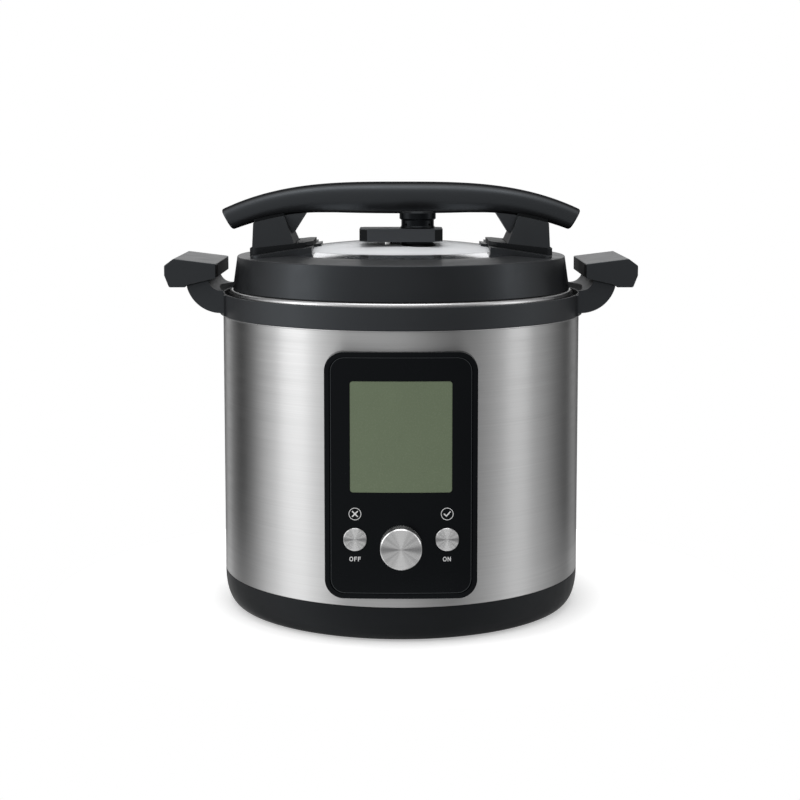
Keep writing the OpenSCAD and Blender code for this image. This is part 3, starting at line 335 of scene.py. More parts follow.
def circuit(name, colour):
    """Solder mask over copper tracks."""
    m = Recipe(name)
    tracks = m.node("ShaderNodeTexBrick", offset=0.4)
    tracks.inputs["Scale"].default_value = 160.0
    tracks.inputs["Mortar Size"].default_value = 0.03
    for part, factor in (("Color1", 1.0), ("Color2", 0.8), ("Mortar", 1.9)):
        tracks.inputs[part].default_value = (*shade(colour, factor), 1.0)
    m.link(m.place, tracks.inputs["Vector"])
    m.colour(tracks.outputs["Color"])
    m.roughness(m.ramp(m.noise(90.0), 0.3, 0.4))
    return m.material


BLACK = (0.0165, 0.0172, 0.0185)
STEEL = (0.595, 0.596, 0.597)

MATERIALS = {
    "black_plastic": moulded("black_plastic", BLACK, 0.34, specular=0.42),
    "gloss_black": moulded("gloss_black", (0.0026, 0.003, 0.0036), 0.24, 0.000004, 0.16),
    "blue_plastic": moulded("blue_plastic", (0.05, 0.14, 0.45), 0.4),
    "white_plastic": moulded("white_plastic", (0.86, 0.87, 0.87), 0.45),
    "yellow_tape": moulded("yellow_tape", (0.7, 0.55, 0.12), 0.4),
    "clear_plastic": clear_plastic("clear_plastic", (0.9, 0.93, 0.95)),
    "rubber": moulded("rubber", (0.022, 0.022, 0.022), 0.7, 0.00004, 0.3),
    "dark_rubber": moulded("dark_rubber", (0.015, 0.015, 0.015), 0.6, specular=0.3),
    "silicone": moulded("silicone", (0.72, 0.73, 0.72), 0.4),
    "red_silicone": moulded("red_silicone", (0.5, 0.08, 0.05), 0.42),
    "brushed_steel": brushed("brushed_steel", STEEL, 0.36, (6.0, 6.0, 1500.0)),
    "polished_steel": polished("polished_steel", (0.72, 0.72, 0.72), 0.2),
    "spring_steel": polished("spring_steel", (0.5, 0.5, 0.52), 0.3, 200.0),
    "zinc_steel": polished("zinc_steel", (0.66, 0.66, 0.68), 0.28, 150.0),
    "spun_metal": spun("spun_metal", (0.79, 0.79, 0.8), 0.27),
    "cast_aluminium": polished("cast_aluminium", (0.6, 0.6, 0.61), 0.36, 60.0),
    "heater_sheath": polished("heater_sheath", (0.28, 0.25, 0.23), 0.5, 80.0),
    "brass": polished("brass", (0.78, 0.58, 0.26), 0.25, 150.0),
    "ceramic": moulded("ceramic", (0.78, 0.72, 0.6), 0.5),
    "circuit_board": circuit("circuit_board", (0.03, 0.17, 0.08)),
    "lead_sleeve": moulded("lead_sleeve", (0.4, 0.05, 0.04), 0.5),
    "ribbon": moulded("ribbon", (0.6, 0.6, 0.59), 0.5),
    "display_glass": display_glass("display_glass", (0.189, 0.237, 0.148)),
}

# Finishes of single pieces, where a slot's own material is too dark or too pale for them. The
# lighter and darker blacks are copies of the black plastic, partly for a different gloss and partly
# as painted light and shade: paler where a piece catches more light, darker where it lies in shade.
LID_STEEL = lid_steel("lid_steel", (0.89, 0.905, 0.93))
DULL_BLACK = moulded("dull_black", shade(BLACK, 0.62), 0.45, specular=0.2)
PALE_BLACK = moulded("pale_black", shade(BLACK, 2.3), 0.42)
COLLAR_BLACK = moulded("collar_black", shade(BLACK, 1.45), 0.4)
# Nearly without light: painted shade on the valve cover's corners and the grips' inner ends, and
# the rubber's own dark on the valve gasket
SHADE_AND_RUBBER_BLACK = moulded("shade_and_rubber_black", shade(BLACK, 0.2), 0.4, specular=0.12)
HANDLE_BLACK = moulded("handle_black", shade(BLACK, 1.25), 0.36, specular=0.62,
                       dull_edge=(0.34, 0.56))
ARM_BLACK = moulded("arm_black", shade(BLACK, 1.35), 0.5, specular=0.55)
GRIP_BLACK = moulded("grip_black", shade(BLACK, 1.3), 0.36)
MARK_WHITE = moulded("mark_white", (0.97, 0.97, 0.97), 0.5)
# A painted highlight: the grey of the bright line round the fascia's edge
HIGHLIGHT_GREY = moulded("highlight_grey", (0.045, 0.047, 0.05), 0.3)
RIM_STEEL = polished("rim_steel", (0.62, 0.62, 0.625), 0.3)

for part in frame["record"]["subparts"]:
    mesh = frame["nodes"][part["node"]].data
    mesh.materials.clear()
    mesh.materials.append(MATERIALS[part["material_slot"]])

# ---- Shaping, in millimetres ----


def fillet(corners, steps=5):
    """A closed outline from corners (x, y) or (x, y, radius), each radius a rounded corner."""
    outline = []
    for i, corner in enumerate(corners):
        here = Vector(corner[:2])
        radius = corner[2] if len(corner) > 2 else 0.0
        if not radius:
            outline.append(tuple(here))
            continue
        before = (Vector(corners[i - 1][:2]) - here).normalized()
        after = (Vector(corners[(i + 1) % len(corners)][:2]) - here).normalized()
        half = before.angle(after) / 2.0
        centre = here + (before + after).normalized() * radius / math.sin(half)
        start = here + before * radius / math.tan(half) - centre
        end = here + after * radius / math.tan(half) - centre
        first = math.atan2(start.y, start.x)
        sweep = (math.atan2(end.y, end.x) - first + math.pi) % math.tau - math.pi
        for step in range(steps + 1):
            angle = first + sweep * step / steps
            outline.append((centre.x + radius * math.cos(angle),
                            centre.y + radius * math.sin(angle)))
    return outline


def arc(centre, radius, start, end, steps=16):
    """Points along an arc, with angles in degrees."""
    angles = [math.radians(start + (end - start) * i / steps) for i in range(steps + 1)]
    return [(centre[0] + radius * math.cos(a), centre[1] + radius * math.sin(a)) for a in angles]


def rounded_rect(width, height, radius, x=0.0, y=0.0):
    w, h = width / 2.0, height / 2.0
    return fillet([(x - w, y - h, radius), (x + w, y - h, radius), (x + w, y + h, radius),
                   (x - w, y + h, radius)])


def circle(x, y, radius, steps=32):
    return arc((x, y), radius, 0.0, 360.0, steps)[:-1]


def on_circle(radius, angle):
    """The place (x, y) at a distance and an angle in degrees from the drum's axis."""
    return radius * math.cos(math.radians(angle)), radius * math.sin(math.radians(angle))


def rotated(outline, angle):
    """An outline turned by an angle in degrees about the drum's axis."""
    across, along = on_circle(1.0, angle)
    return [(a * across - b * along, a * along + b * across) for a, b in outline]


def lathe(outline, steps=180, x=0.0, other=0.0, upright=True):
    """Turns a closed outline of (radius, height) about an upright axis through (x, other).

    Not upright, it turns one of (radius, y) about an axis along Y at x and z = other.
    """
    bm = bmesh.new()
    rings = []
    for step in range(steps):
        angle = math.tau * step / steps
        across, along = math.cos(angle), math.sin(angle)
        if upright:
            rings.append([bm.verts.new((x + r * across, other + r * along, h)) for r, h in outline])
        else:
            rings.append([bm.verts.new((x + r * across, h, other + r * along)) for r, h in outline])
    for i, ring in enumerate(rings):
        following = rings[(i + 1) % steps]
        for j in range(len(outline)):
            k = (j + 1) % len(outline)
            if outline[j][0] or outline[k][0]:
                bm.faces.new((ring[j], ring[k], following[k], following[j]))
    bmesh.ops.remove_doubles(bm, verts=bm.verts, dist=0.0005)
    return bm


def prism(outline, low, high, along="Z"):
    """A flat outline carried between two levels along Z, or along Y for an outline of (x, z)."""
    bm = bmesh.new()
    ends = []
    for level in (low, high):
        places = [(a, b, level) if along == "Z" else (a, level, b) for a, b in outline]
        ends.append([bm.verts.new(place) for place in places])
    for i in range(len(outline)):
        j = (i + 1) % len(outline)
        bm.faces.new((ends[0][i], ends[0][j], ends[1][j], ends[1][i]))
    for end in ends:
        bm.faces.new(end)
    return bm


def block(x0, x1, y0, y1, z0, z1):
    return prism([(x0, y0), (x1, y0), (x1, y1), (x0, y1)], z0, z1)


def sector(inner, outer, middle, half, low, high, steps=8):
    """A part of a flat ring, about an angle in degrees."""
    outside = arc((0.0, 0.0), outer, middle - half, middle + half, steps)
    inside = arc((0.0, 0.0), inner, middle + half, middle - half, steps)
    return prism(outside + inside, low, high)


def mirrored(bm):
    """The same shape on the other side of the machine."""
    for vert in bm.verts:
        vert.co.x = -vert.co.x
    return bm


# What turns a shape made for the right side into that side's own
SIDES = (("right", lambda bm: bm), ("left", mirrored))


def soften(bm, width, segments=3, angle=35.0, keep=None):
    """Rounds the edges that are sharper than an angle, or those of them that keep accepts."""
    bmesh.ops.recalc_face_normals(bm, faces=bm.faces)
    sharp = [edge for edge in bm.edges
             if len(edge.link_faces) == 2 and edge.calc_face_angle() > math.radians(angle)
             and (keep is None or keep(edge))]
    bmesh.ops.bevel(bm, geom=sharp, offset=width, offset_type="OFFSET", segments=segments,
                    profile=0.5, affect="EDGES", clamp_overlap=True)
    return bm


def combine(bm, others, operation="DIFFERENCE"):
    """Cuts other shapes out of one, or joins them to it."""
    tools = bpy.data.collections.new("tools")
    made = []
    for shape in [bm, *others]:
        bmesh.ops.recalc_face_normals(shape, faces=shape.faces)
        mesh = bpy.data.meshes.new("work")
        shape.to_mesh(mesh)
        made.append(bpy.data.objects.new("work", mesh))
    scene.collection.objects.link(made[0])
    for tool in made[1:]:
        tools.objects.link(tool)
    scene.collection.children.link(tools)
    modifier = made[0].modifiers.new("combine", "BOOLEAN")
    modifier.operand_type = "COLLECTION"
    modifier.collection = tools
    modifier.operation = operation
    modifier.solver = "EXACT"
    bm.clear()
    bm.from_mesh(made[0].evaluated_get(bpy.context.evaluated_depsgraph_get()).data)
    for used in made:
        bpy.data.meshes.remove(used.data)
    bpy.data.collections.remove(tools)
    for shape in others:
        shape.free()
    return bm


def copy_of(node):
    """A node's own shape, with the triangles of its flat faces made whole."""
    source = frame["nodes"][node].data
    bm = bmesh.new()
    verts = [bm.verts.new(vert.co / MM) for vert in source.vertices]
    for face in source.polygons:
        corners = [verts[i] for i in face.vertices]
        if bm.faces.get(corners) is None:
            bm.faces.new(corners)
    bmesh.ops.remove_doubles(bm, verts=bm.verts, dist=0.002)
    bmesh.ops.recalc_face_normals(bm, faces=bm.faces)
    bmesh.ops.dissolve_limit(bm, angle_limit=math.radians(0.5), verts=bm.verts, edges=bm.edges)
    return bm


BODY_OF = {node: body for body, nodes in frame["record"]["behaviour"]["bodies"].items()
           for node in nodes}
SLOT_OF = {part["node"]: part["material_slot"] for part in frame["record"]["subparts"]}
SMOOTH_BELOW = math.radians(32.0)


def piece(name, bm, node, slot=None, stands_for=True, finish=None):
    """Makes a shape into a piece that rides with a node's body and usually stands for the node."""
    bmesh.ops.scale(bm, vec=(MM, MM, MM), verts=bm.verts)
    bmesh.ops.recalc_face_normals(bm, faces=bm.faces)
    for face in bm.faces:
        face.smooth = True
    for edge in bm.edges:
        edge.smooth = len(edge.link_faces) == 2 and edge.calc_face_angle() < SMOOTH_BELOW
    mesh = bpy.data.meshes.new(name)
    bm.to_mesh(mesh)
    bm.free()
    slot = slot or SLOT_OF[node]
    mesh.materials.append(finish or MATERIALS[slot])
    made = bpy.data.objects.new(name, mesh)
    scene.collection.objects.link(made)
    shading = made.modifiers.new("even shading", "WEIGHTED_NORMAL")
    shading.keep_sharp = True
    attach(made, BODY_OF[node])
    if stands_for:
        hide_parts(node)


# ---- Drum, base and collar ----

DRUM_R = 130.0
DRUM_IN = 129.2
DRUM_FLANGE_IN = 108.0
BEAD_R = 130.55
BEAD_LOW = 211.05
BEAD_TALL = 0.9
BASE_TOP = 25.0
BASE_SCREW_R = 114.0
BASE_SCREW_ANGLES = (30, 150, 210, 330)
BRACKET_SCREWS = ((-10.0, 203.0), (10.0, 203.0))
COLLAR_R = 131.0
COLLAR_IN = 120.6
COLLAR_LOW = 212.0
COLLAR_TOP = 227.5
GROOVE_OUT = 129.3
GROOVE_IN = 124.1
GROOVE_LOW = 219.5
SEAT_R = 132.4
SEAT_HALF = 40.0
WELL_R = 114.2
WELL_FLOOR = 44.0
WELL_SHEET = 1.2
RIM_TOP = 229.7
RIM_IN = 119.0
PANEL_MIDDLE = 115.3
PANEL_OPENING = (86.0, 150.0, 4.0)
LUGS = 8
LUG_HALF = 9.0
AROUND = 240


def build_drum():
    """The steel wall with the flange at its foot, and the bead under the collar."""
    low, high, flange_top = BASE_TOP + 0.1, COLLAR_LOW - 0.1, BASE_TOP + 0.8
    wall = lathe(fillet([
        (DRUM_R, low, 0.5), (DRUM_R, high), (DRUM_IN, high), (DRUM_IN, flange_top),
        (DRUM_FLANGE_IN, flange_top), (DRUM_FLANGE_IN, low)]), AROUND)
    panel_opening = rounded_rect(*PANEL_OPENING, 0.0, PANEL_MIDDLE)
    ribbon_slot = block(-10.0, 10.0, -116.5, -113.6, BASE_TOP - 1.0, BASE_TOP + 2.0)
    cuts = [prism(panel_opening, -140.0, -100.0, "Y"), ribbon_slot]
    cuts += [prism(circle(x, z, 1.35), 110.0, 135.0, "Y") for x, z in BRACKET_SCREWS]
    cuts += [prism(circle(*on_circle(BASE_SCREW_R, angle), 2.1), BASE_TOP - 1.0, BASE_TOP + 2.0)
             for angle in BASE_SCREW_ANGLES]
    piece("drum", combine(wall, cuts), "housing_drum")
    bead_top = BEAD_LOW + BEAD_TALL
    bead = lathe(fillet([(129.6, BEAD_LOW), (BEAD_R, BEAD_LOW, 0.42), (BEAD_R, bead_top, 0.42),
                         (129.6, bead_top)]), AROUND)
    piece("drum_bead", bead, "housing_drum", stands_for=False, finish=RIM_STEEL)


def build_collar():
    """The black collar, grooved on top, with a seat at each side for a handle's arm."""
    ring = lathe(fillet([
        (COLLAR_R, COLLAR_LOW, 0.5), (COLLAR_R, COLLAR_TOP, 0.8), (GROOVE_OUT, COLLAR_TOP, 0.5),
        (GROOVE_OUT, GROOVE_LOW), (GROOVE_IN, GROOVE_LOW), (GROOVE_IN, COLLAR_TOP),
        (COLLAR_IN, COLLAR_TOP, 0.5), (COLLAR_IN, 214.0), (122.6, 214.0), (122.6, 217.6),
        (126.6, 217.6), (126.6, 206.0), (129.0, 206.0), (129.0, COLLAR_LOW)]), AROUND)
    half = math.degrees(math.asin(SEAT_HALF / SEAT_R))
    seats = [sector(DRUM_IN, SEAT_R, side, half, COLLAR_LOW + 0.6, COLLAR_TOP - 0.1, 24)
             for side in (0.0, 180.0)]
    combine(ring, seats, "UNION")

    def at_seat(edge):
        middle = (edge.verts[0].co + edge.verts[1].co) / 2.0
        return middle.xy.length > COLLAR_R + 0.4

    piece("collar", soften(ring, 0.5, 2, 40.0, at_seat), "collar_ring", finish=COLLAR_BLACK)


def bayonet(inner, outer, turn, low, high):
    """A ring of lugs, turned by a share of the step from one to the next."""
    step = 360.0 / LUGS
    return [sector(inner, outer, step * (i + turn), LUG_HALF, low, high) for i in range(LUGS)]


def build_well():
    """The heating well, whose rolled steel rim shows between the collar and the lid."""
    wall_in, floor_top = WELL_R - WELL_SHEET, WELL_FLOOR + WELL_SHEET
    well = lathe(fillet([
        (18.0, WELL_FLOOR), (WELL_R, WELL_FLOOR, 2.0), (WELL_R, 216.8), (120.2, 216.8, 1.0),
        (120.2, 227.5), (124.2, 227.5), (124.2, 225.9), (125.4, 225.9), (125.4, RIM_TOP, 2.4),
        (RIM_IN, RIM_TOP, 0.5), (RIM_IN, 218.0), (wall_in, 218.0, 0.8), (wall_in, floor_top, 0.8),
        (18.0, floor_top)]), AROUND)
    # Distance, angle and radius of the holes for the heater's screws and tube, and the bracket's
    spots = [(84.0, angle, 1.8) for angle in (90, 210, 330)]
    spots += [(66.0, angle, 5.0) for angle in (60, 120)]
    spots += [(30.0, angle, 1.8) for angle in (0, 180)]
    holes = [prism(circle(*on_circle(distance, angle), radius), 40.0, 50.0)
             for distance, angle, radius in spots]
    combine(well, bayonet(113.5, RIM_IN + 0.3, 0.5, 226.5, RIM_TOP), "UNION")
    piece("heating_well", combine(well, holes), "liner_pot", finish=RIM_STEEL)


# ---- Side handles ----

ARM_CENTRE = (128.0, 240.0)
ARM_OUTER_R = 25.2
ARM_INNER_R = 9.2
ARM_HALF = 40.0
GRIP_HALF = 45.0


def arm_shape():
    """The right arm, which curves up from its seat on the collar to the grip."""
    outline = [(118.0, 230.8), (118.0, 214.8), *arc(ARM_CENTRE, ARM_OUTER_R, -90.0, -12.84, 36),
               (151.8, 235.4), *arc(ARM_CENTRE, ARM_INNER_R, -8.29, -90.0, 24)]
    bm = prism(outline, -ARM_HALF, ARM_HALF, "Y")
    combine(bm, [prism(circle(0.0, 0.0, SEAT_R, AROUND), 190.0, 260.0)])
    soften(bm, 0.7, 3)
    # A shadow gap under the grip, on the arm's front and back
    gap = [(130.0, 240.5), (151.8, 235.4), (153.4, 233.4), (153.4, 232.5), (151.5, 234.4),
           (130.0, 239.4)]
    return combine(bm, [prism(gap, y - 1.3, y + 1.3, "Y") for y in (-ARM_HALF, ARM_HALF)])


def grip_shape():
    """The right grip, with a fine groove near each end of its inner face."""
    outline = fillet([
        (167.8, 249.0, 1.6), (161.2, 253.9, 1.6), (131.2, 250.2, 1.0), (131.2, 240.0, 0.8),
        (151.8, 235.4), (153.2, 233.6, 0.6), (164.5, 233.6, 1.4), (167.8, 242.1, 1.6)])
    bm = soften(prism(outline, -GRIP_HALF, GRIP_HALF, "Y"), 0.8, 3, 40.0)
    return combine(bm, [block(130.0, 131.9, y - 0.35, y + 0.35, 240.6, 249.6)
                        for y in (1.2 - GRIP_HALF, GRIP_HALF - 1.2)])


def grip_shade_sheet():
    """A thin nearly black sheet on the grip's inner end, behind its front plate, as painted shade.
    """
    return block(131.0, 131.28, -43.3, -32.0, 240.6, 249.3)


def build_side_handles():
    for side, turned in SIDES:
        piece("arm_" + side, turned(arm_shape()), "handle_arm_" + side, finish=ARM_BLACK)
        grip_node = "handle_grip_" + side
        piece("grip_" + side, turned(grip_shape()), grip_node, finish=GRIP_BLACK)
        piece("grip_shade_sheet_" + side, turned(grip_shade_sheet()), grip_node, stands_for=False,
              finish=SHADE_AND_RUBBER_BLACK)


# ---- Lid ----

DOME_R = 485.0
DOME_CENTRE = -220.2
SEAM_R = 91.5
SHOULDER_R = 11.8
SKIRT_R = 112.8
SHEET = 1.5
LUG_R = 118.3
LUG_LOW = 222.3
LUG_TALL = 3.0
TAB_R = 115.9
TAB_TOP = 242.7
TAB_ANGLES = (45, 135, 225, 315)
VALVE_PLACE = (11.8, -34.0)
FLOAT_PLACE = (-9.3, -31.0)
BOLT_PLACES = [(x, y) for x in (-88.0, 88.0) for y in (-9.0, 9.0)]
SHOULDER_ANGLE = math.degrees(math.asin((SKIRT_R - SHOULDER_R) / (DOME_R - SHOULDER_R)))


def dome_height(radius):
    return DOME_CENTRE + math.sqrt(DOME_R ** 2 - radius ** 2)


def dome_profile(inset, steps):
    """The dome from its crown to the foot of its shoulder, set in by a thickness."""
    centre = (SKIRT_R - SHOULDER_R,
              DOME_CENTRE + (DOME_R - SHOULDER_R) * math.cos(math.radians(SHOULDER_ANGLE)))
    crown = arc((0.0, DOME_CENTRE), DOME_R - inset, 90.0, 90.0 - SHOULDER_ANGLE, steps)
    crown[0] = (0.0, crown[0][1])
    shoulder = arc(centre, SHOULDER_R - inset, 90.0 - SHOULDER_ANGLE, 0.0, 12)
    return crown[:-1] + shoulder


def build_lid_shell():
    """The steel lid: dome, skirt, eight bayonet lugs, four tabs for the ring, and its holes."""
    skirt_in = SKIRT_R - SHEET
    shell = lathe([*dome_profile(0.0, 40), (SKIRT_R, LUG_LOW), (skirt_in, LUG_LOW),
                   *dome_profile(SHEET, 40)[::-1]], AROUND)
    joined = bayonet(skirt_in + 0.4, LUG_R, 0.0, LUG_LOW, LUG_LOW + LUG_TALL)
    holes = [prism(circle(x, y, radius), 240.0, 280.0)
             for (x, y), radius in ((VALVE_PLACE, 4.1), (FLOAT_PLACE, 3.4))]
    holes += [prism(circle(x, y, 2.6), 240.0, 280.0) for x, y in BOLT_PLACES]
    tab = rounded_rect(7.3, 8.0, 1.5, skirt_in + 3.6)
    for angle in TAB_ANGLES:
        joined.append(prism(rotated(tab, angle), TAB_TOP - 1.5, TAB_TOP))
        holes.append(prism(circle(*on_circle(TAB_R, angle), 1.6), 238.0, 246.0))
    combine(shell, joined, "UNION")
    piece("lid_dome", combine(shell, holes), "lid_shell", finish=LID_STEEL)


def build_lid_ring():
    """The black ring round the dome, with a boss under it at each tab of the shell."""
    seam = dome_height(SEAM_R)
    under = [p for p in dome_profile(0.0, 60) if p[0] > SEAM_R and p[1] > 249.6]
    outline = fillet([(SEAM_R, seam), (SEAM_R + 0.35, seam + 0.5, 0.3), (119.5, 254.0, 1.0),
                      (123.0, 230.0, 0.6), (120.7, 230.0, 0.5), (117.5, 249.7), (114.8, 249.7)])
    ring = lathe(outline + under[::-1], AROUND)
    bosses = [prism(circle(*on_circle(TAB_R, angle), 2.8), TAB_TOP, 251.0) for angle in TAB_ANGLES]
    piece("lid_rim", combine(ring, bosses, "UNION"), "lid_ring")


# ---- Bridge handle ----

BAR_HALF = 130.8
BAR_HALF_LOW = 122.5
BAR_TOP = 307.4
BAR_LOW = 285.0
BAR_DEPTH = 16.0
BAR_STATIONS = 90
BAR_AROUND = 64


def power(value, exponent):
    return math.copysign(abs(value) ** exponent, value)


def bar_top(x):
    return BAR_TOP - 20.2 * (abs(x) / BAR_HALF) ** 3.1


def bar_low(x):
    """The underside: a slight belly in the middle, level as far as 60 mm out, then falling."""
    belly = 0.7 * max(0.0, 1.0 - (x / 48.0) ** 2)
    return BAR_LOW - belly - 12.4 * (max(0.0, abs(x) - 60.0) / (BAR_HALF_LOW - 60.0)) ** 1.9


def build_bridge_handle():
    """The arched bar, skinned over rings that run from its underside up to its top."""
    bm = bmesh.new()
    rings = []
    for i in range(BAR_STATIONS + 1):
        t = 2.0 * i / BAR_STATIONS - 1.0
        high = Vector((t * BAR_HALF, bar_top(t * BAR_HALF)))
        low = Vector((t * BAR_HALF_LOW, bar_low(t * BAR_HALF_LOW)))
        half = BAR_DEPTH * (1.0 - 0.12 * t * t)
        ring = []
        for k in range(BAR_AROUND):
            angle = math.tau * k / BAR_AROUND
            spot = low.lerp(high, (power(math.sin(angle), 0.8) + 1.0) / 2.0)
            ring.append(bm.verts.new((spot.x, half * power(math.cos(angle), 0.62), spot.y)))
        rings.append(ring)
    for ring, following in zip(rings, rings[1:]):
        for k in range(BAR_AROUND):
            m = (k + 1) % BAR_AROUND
            bm.faces.new((ring[k], ring[m], following[m], following[k]))
    bm.faces.new(rings[0])
    bm.faces.new(rings[-1])
    soften(bm, 1.3, 4, 50.0, lambda edge: abs(edge.verts[0].co.x) > 115.0)
    bores = [prism(circle(x, y, 2.55), 260.0, 293.0) for x, y in BOLT_PLACES]
    piece("bridge_bar", combine(bm, bores), "bridge_handle", finish=HANDLE_BLACK)


FOOT_IN = 62.8
FLANGE_IN = 63.0
FLANGE_OUT = 108.4
PILLAR_IN = 76.0
PILLAR_OUT = 106.6
PILLAR_TOP = 292.0
SLOPE_LOW = 261.0
NECK_Z = 286.0
NECK_IN = 85.5
NECK_HALF = 16.0
FOOT_HALF = 32.0
CORE_HALF = 11.8
WEB_CORE_HALF = 8.0


def foot_line(x):
    return 262.5 - 0.155 * (x - FOOT_IN)


def flange_line(x):
    return 265.6 - 0.11 * (x - FLANGE_IN)


def hull(points):
    bm = bmesh.new()
    for point in points:
        bm.verts.new(point)
    made = bmesh.ops.convex_hull(bm, input=bm.verts)
    spare = [item for item in made["geom_interior"] if isinstance(item, bmesh.types.BMVert)]
    bmesh.ops.delete(bm, geom=spare, context="VERTS")
    bmesh.ops.dissolve_limit(bm, angle_limit=math.radians(0.5), verts=bm.verts, edges=bm.edges)
    return bm


def under_bar(bm, half):
    """Cuts away what stands above the bar's underside, apart from a core that runs into it."""
    line = [(x, bar_low(x) + 0.35) for x in (60.0, 70.0, 80.0, 90.0, 100.0, 110.0)]
    for low, high in ((-60.0, -half), (half, 60.0)):
        combine(bm, [prism([*line, (110.0, 320.0), (60.0, 320.0)], low, high, "Y")])
    return bm


def tower_shape():
    """A pillar that narrows up to its neck, its slopes carried on a little way into the bar."""
    carried = (PILLAR_TOP - NECK_Z) / (NECK_Z - SLOPE_LOW)
    top_half = NECK_HALF - (FOOT_HALF - NECK_HALF) * carried
    top_in = NECK_IN + (NECK_IN - PILLAR_IN) * carried
    points = []
    for y in (-1.0, 1.0):
        points += [(x, y * FOOT_HALF, flange_line(x) - 1.2) for x in (PILLAR_IN, PILLAR_OUT)]
        points += [(top_in, y * top_half, PILLAR_TOP),
                   (PILLAR_OUT + 0.1, y * top_half, PILLAR_TOP - 2.0)]
    return soften(under_bar(hull(points), CORE_HALF), 0.6, 2)


def flange_shape():
    """The plate round a pillar's foot, from the foot plate up to a slanted top with a channel."""
    plan = fillet([(FLANGE_IN, -25.0), (68.0, -34.0), (FLANGE_OUT, -34.0, 6.6),
                   (FLANGE_OUT, 34.0, 6.6), (68.0, 34.0), (FLANGE_IN, 25.0)], 6)
    flange = prism(plan, 245.0, 275.0)
    above = prism([(50.0, flange_line(50.0)), (120.0, flange_line(120.0)), (120.0, 290.0),
                   (50.0, 290.0)], -60.0, 60.0, "Y")
    below = prism([(50.0, foot_line(50.0)), (107.0, foot_line(107.0)), (107.0, 253.6),
                   (120.0, 253.0), (120.0, 230.0), (50.0, 230.0)], -60.0, 60.0, "Y")
    soften(combine(flange, [above, below]), 0.5, 2)
    inner, outer = PILLAR_IN - 0.8, PILLAR_OUT + 0.8
    channel = prism([(inner, flange_line(inner) - 0.8), (outer, flange_line(outer) - 0.8),
                     (outer, 275.0), (inner, 275.0)], -32.9, 32.9, "Y")
    return combine(flange, [channel])


def web_shape():
    """The paler rib between a pillar and the bar."""
    web = prism([(68.0, 286.5), (87.0, 286.5), (87.0, 273.4), (82.5, 273.4), (78.2, 270.4)],
                -12.0, 12.0, "Y")
    return under_bar(soften(web, 0.5, 2), WEB_CORE_HALF)


def build_pillars():
    for side, turned in SIDES:
        node = "pillar_" + side
        pillar = combine(tower_shape(), [flange_shape()], "UNION")
        piece(node + "_body", turned(pillar), node, finish=DULL_BLACK)
        piece(node + "_web", turned(web_shape()), node, stands_for=False, finish=PALE_BLACK)


# ---- Valves ----

KNOB_LOW = 275.4


def build_valve_knob():
    """The round knob, with a stem hole under it and four steam holes round its foot."""
    outline = fillet([(0.0, 0.0), (12.2, 0.0, 0.2), (12.2, 0.8, 0.3), (11.6, 1.6), (11.6, 5.6, 0.5),
                      (12.9, 6.6, 0.4), (12.9, 10.6, 0.5), (11.5, 12.0, 0.6), (0.0, 12.0)])
    x, y = VALVE_PLACE
    bm = lathe([(r, KNOB_LOW + h) for r, h in outline], 120, x, y)
    holes = [prism(circle(x, y, 4.05), KNOB_LOW - 1.0, KNOB_LOW + 5.6)]
    for turn in (45, 135, 225, 315):
        hole = prism(circle(0.0, 0.0, 0.9, 16), 6.0, 16.0)
        bmesh.ops.rotate(hole, verts=hole.verts, cent=(0.0, 0.0, 0.0),
                         matrix=Matrix.Rotation(math.radians(90), 3, "Y"))
        bmesh.ops.rotate(hole, verts=hole.verts, cent=(0.0, 0.0, 0.0),
                         matrix=Matrix.Rotation(math.radians(turn), 3, "Z"))
        bmesh.ops.translate(hole, verts=hole.verts, vec=(x, y, KNOB_LOW + 2.6))
        holes.append(hole)
    piece("steam_knob", combine(bm, holes), "valve_knob")


def build_cover_shade_sheets():
    """Thin nearly black sheets across the cover's two front corners, as painted shade."""
    plan = [(24.1, -46.95), (29.45, -41.6), (29.1, -41.25), (23.75, -46.6)]
    for side, turned in SIDES:
        shade_sheet = turned(prism(plan, 266.6, 274.4))
        piece("cover_shade_sheet_" + side, shade_sheet, "valve_cover", stands_for=False, finish=SHADE_AND_RUBBER_BLACK)


def build_valve_gasket():
    """A rubber foot under the cover, waisted at the top and flared where it meets the dome."""
    x, y = VALVE_PLACE
    foot = lathe([(6.6, 258.0), (13.0, 258.0), (13.0, 263.0), (11.3, 264.6), (11.3, 265.8),
                  (6.6, 265.8)], 120, x, y)
    # The dome's middle, a hair thicker than it is, so that the foot just clears it
    dome = lathe([(0.0, 240.0), (60.0, 240.0), *dome_profile(-0.02, 60)[:30][::-1]], AROUND)
    piece("cover_gasket", combine(foot, [dome]), "valve_gasket", finish=SHADE_AND_RUBBER_BLACK)


# ---- Control panel ----

FASCIA_FACE = -133.3
FASCIA_HALF = 46.9
FASCIA_TALL = 158.8
FASCIA_CORNER = 9.2
PANEL_BOW = 520.0
DIAL_Z = 68.5
DIAL_R = 13.85
DIAL_BACK = -133.9
DIAL_FACE = -145.2
DIAL_BORE_R = 3.05
DIAL_BORE_END = -142.3
BUTTON_X = 30.7
BUTTON_Z = 72.6
BUTTON_FACE = -133.79
CAP_R = 7.85
STEM_R = 2.5
STEM_END = -125.7
ICON_Z = 89.8
ICON_R = 4.2
ICON_LINE = 0.42
CROSS_ARM = 1.65
CROSS_LINE = 0.85
TICK_LINE = 0.8
WORD_Z = 59.2
WORD_LINE = 0.55
LETTER_HALF = 1.3


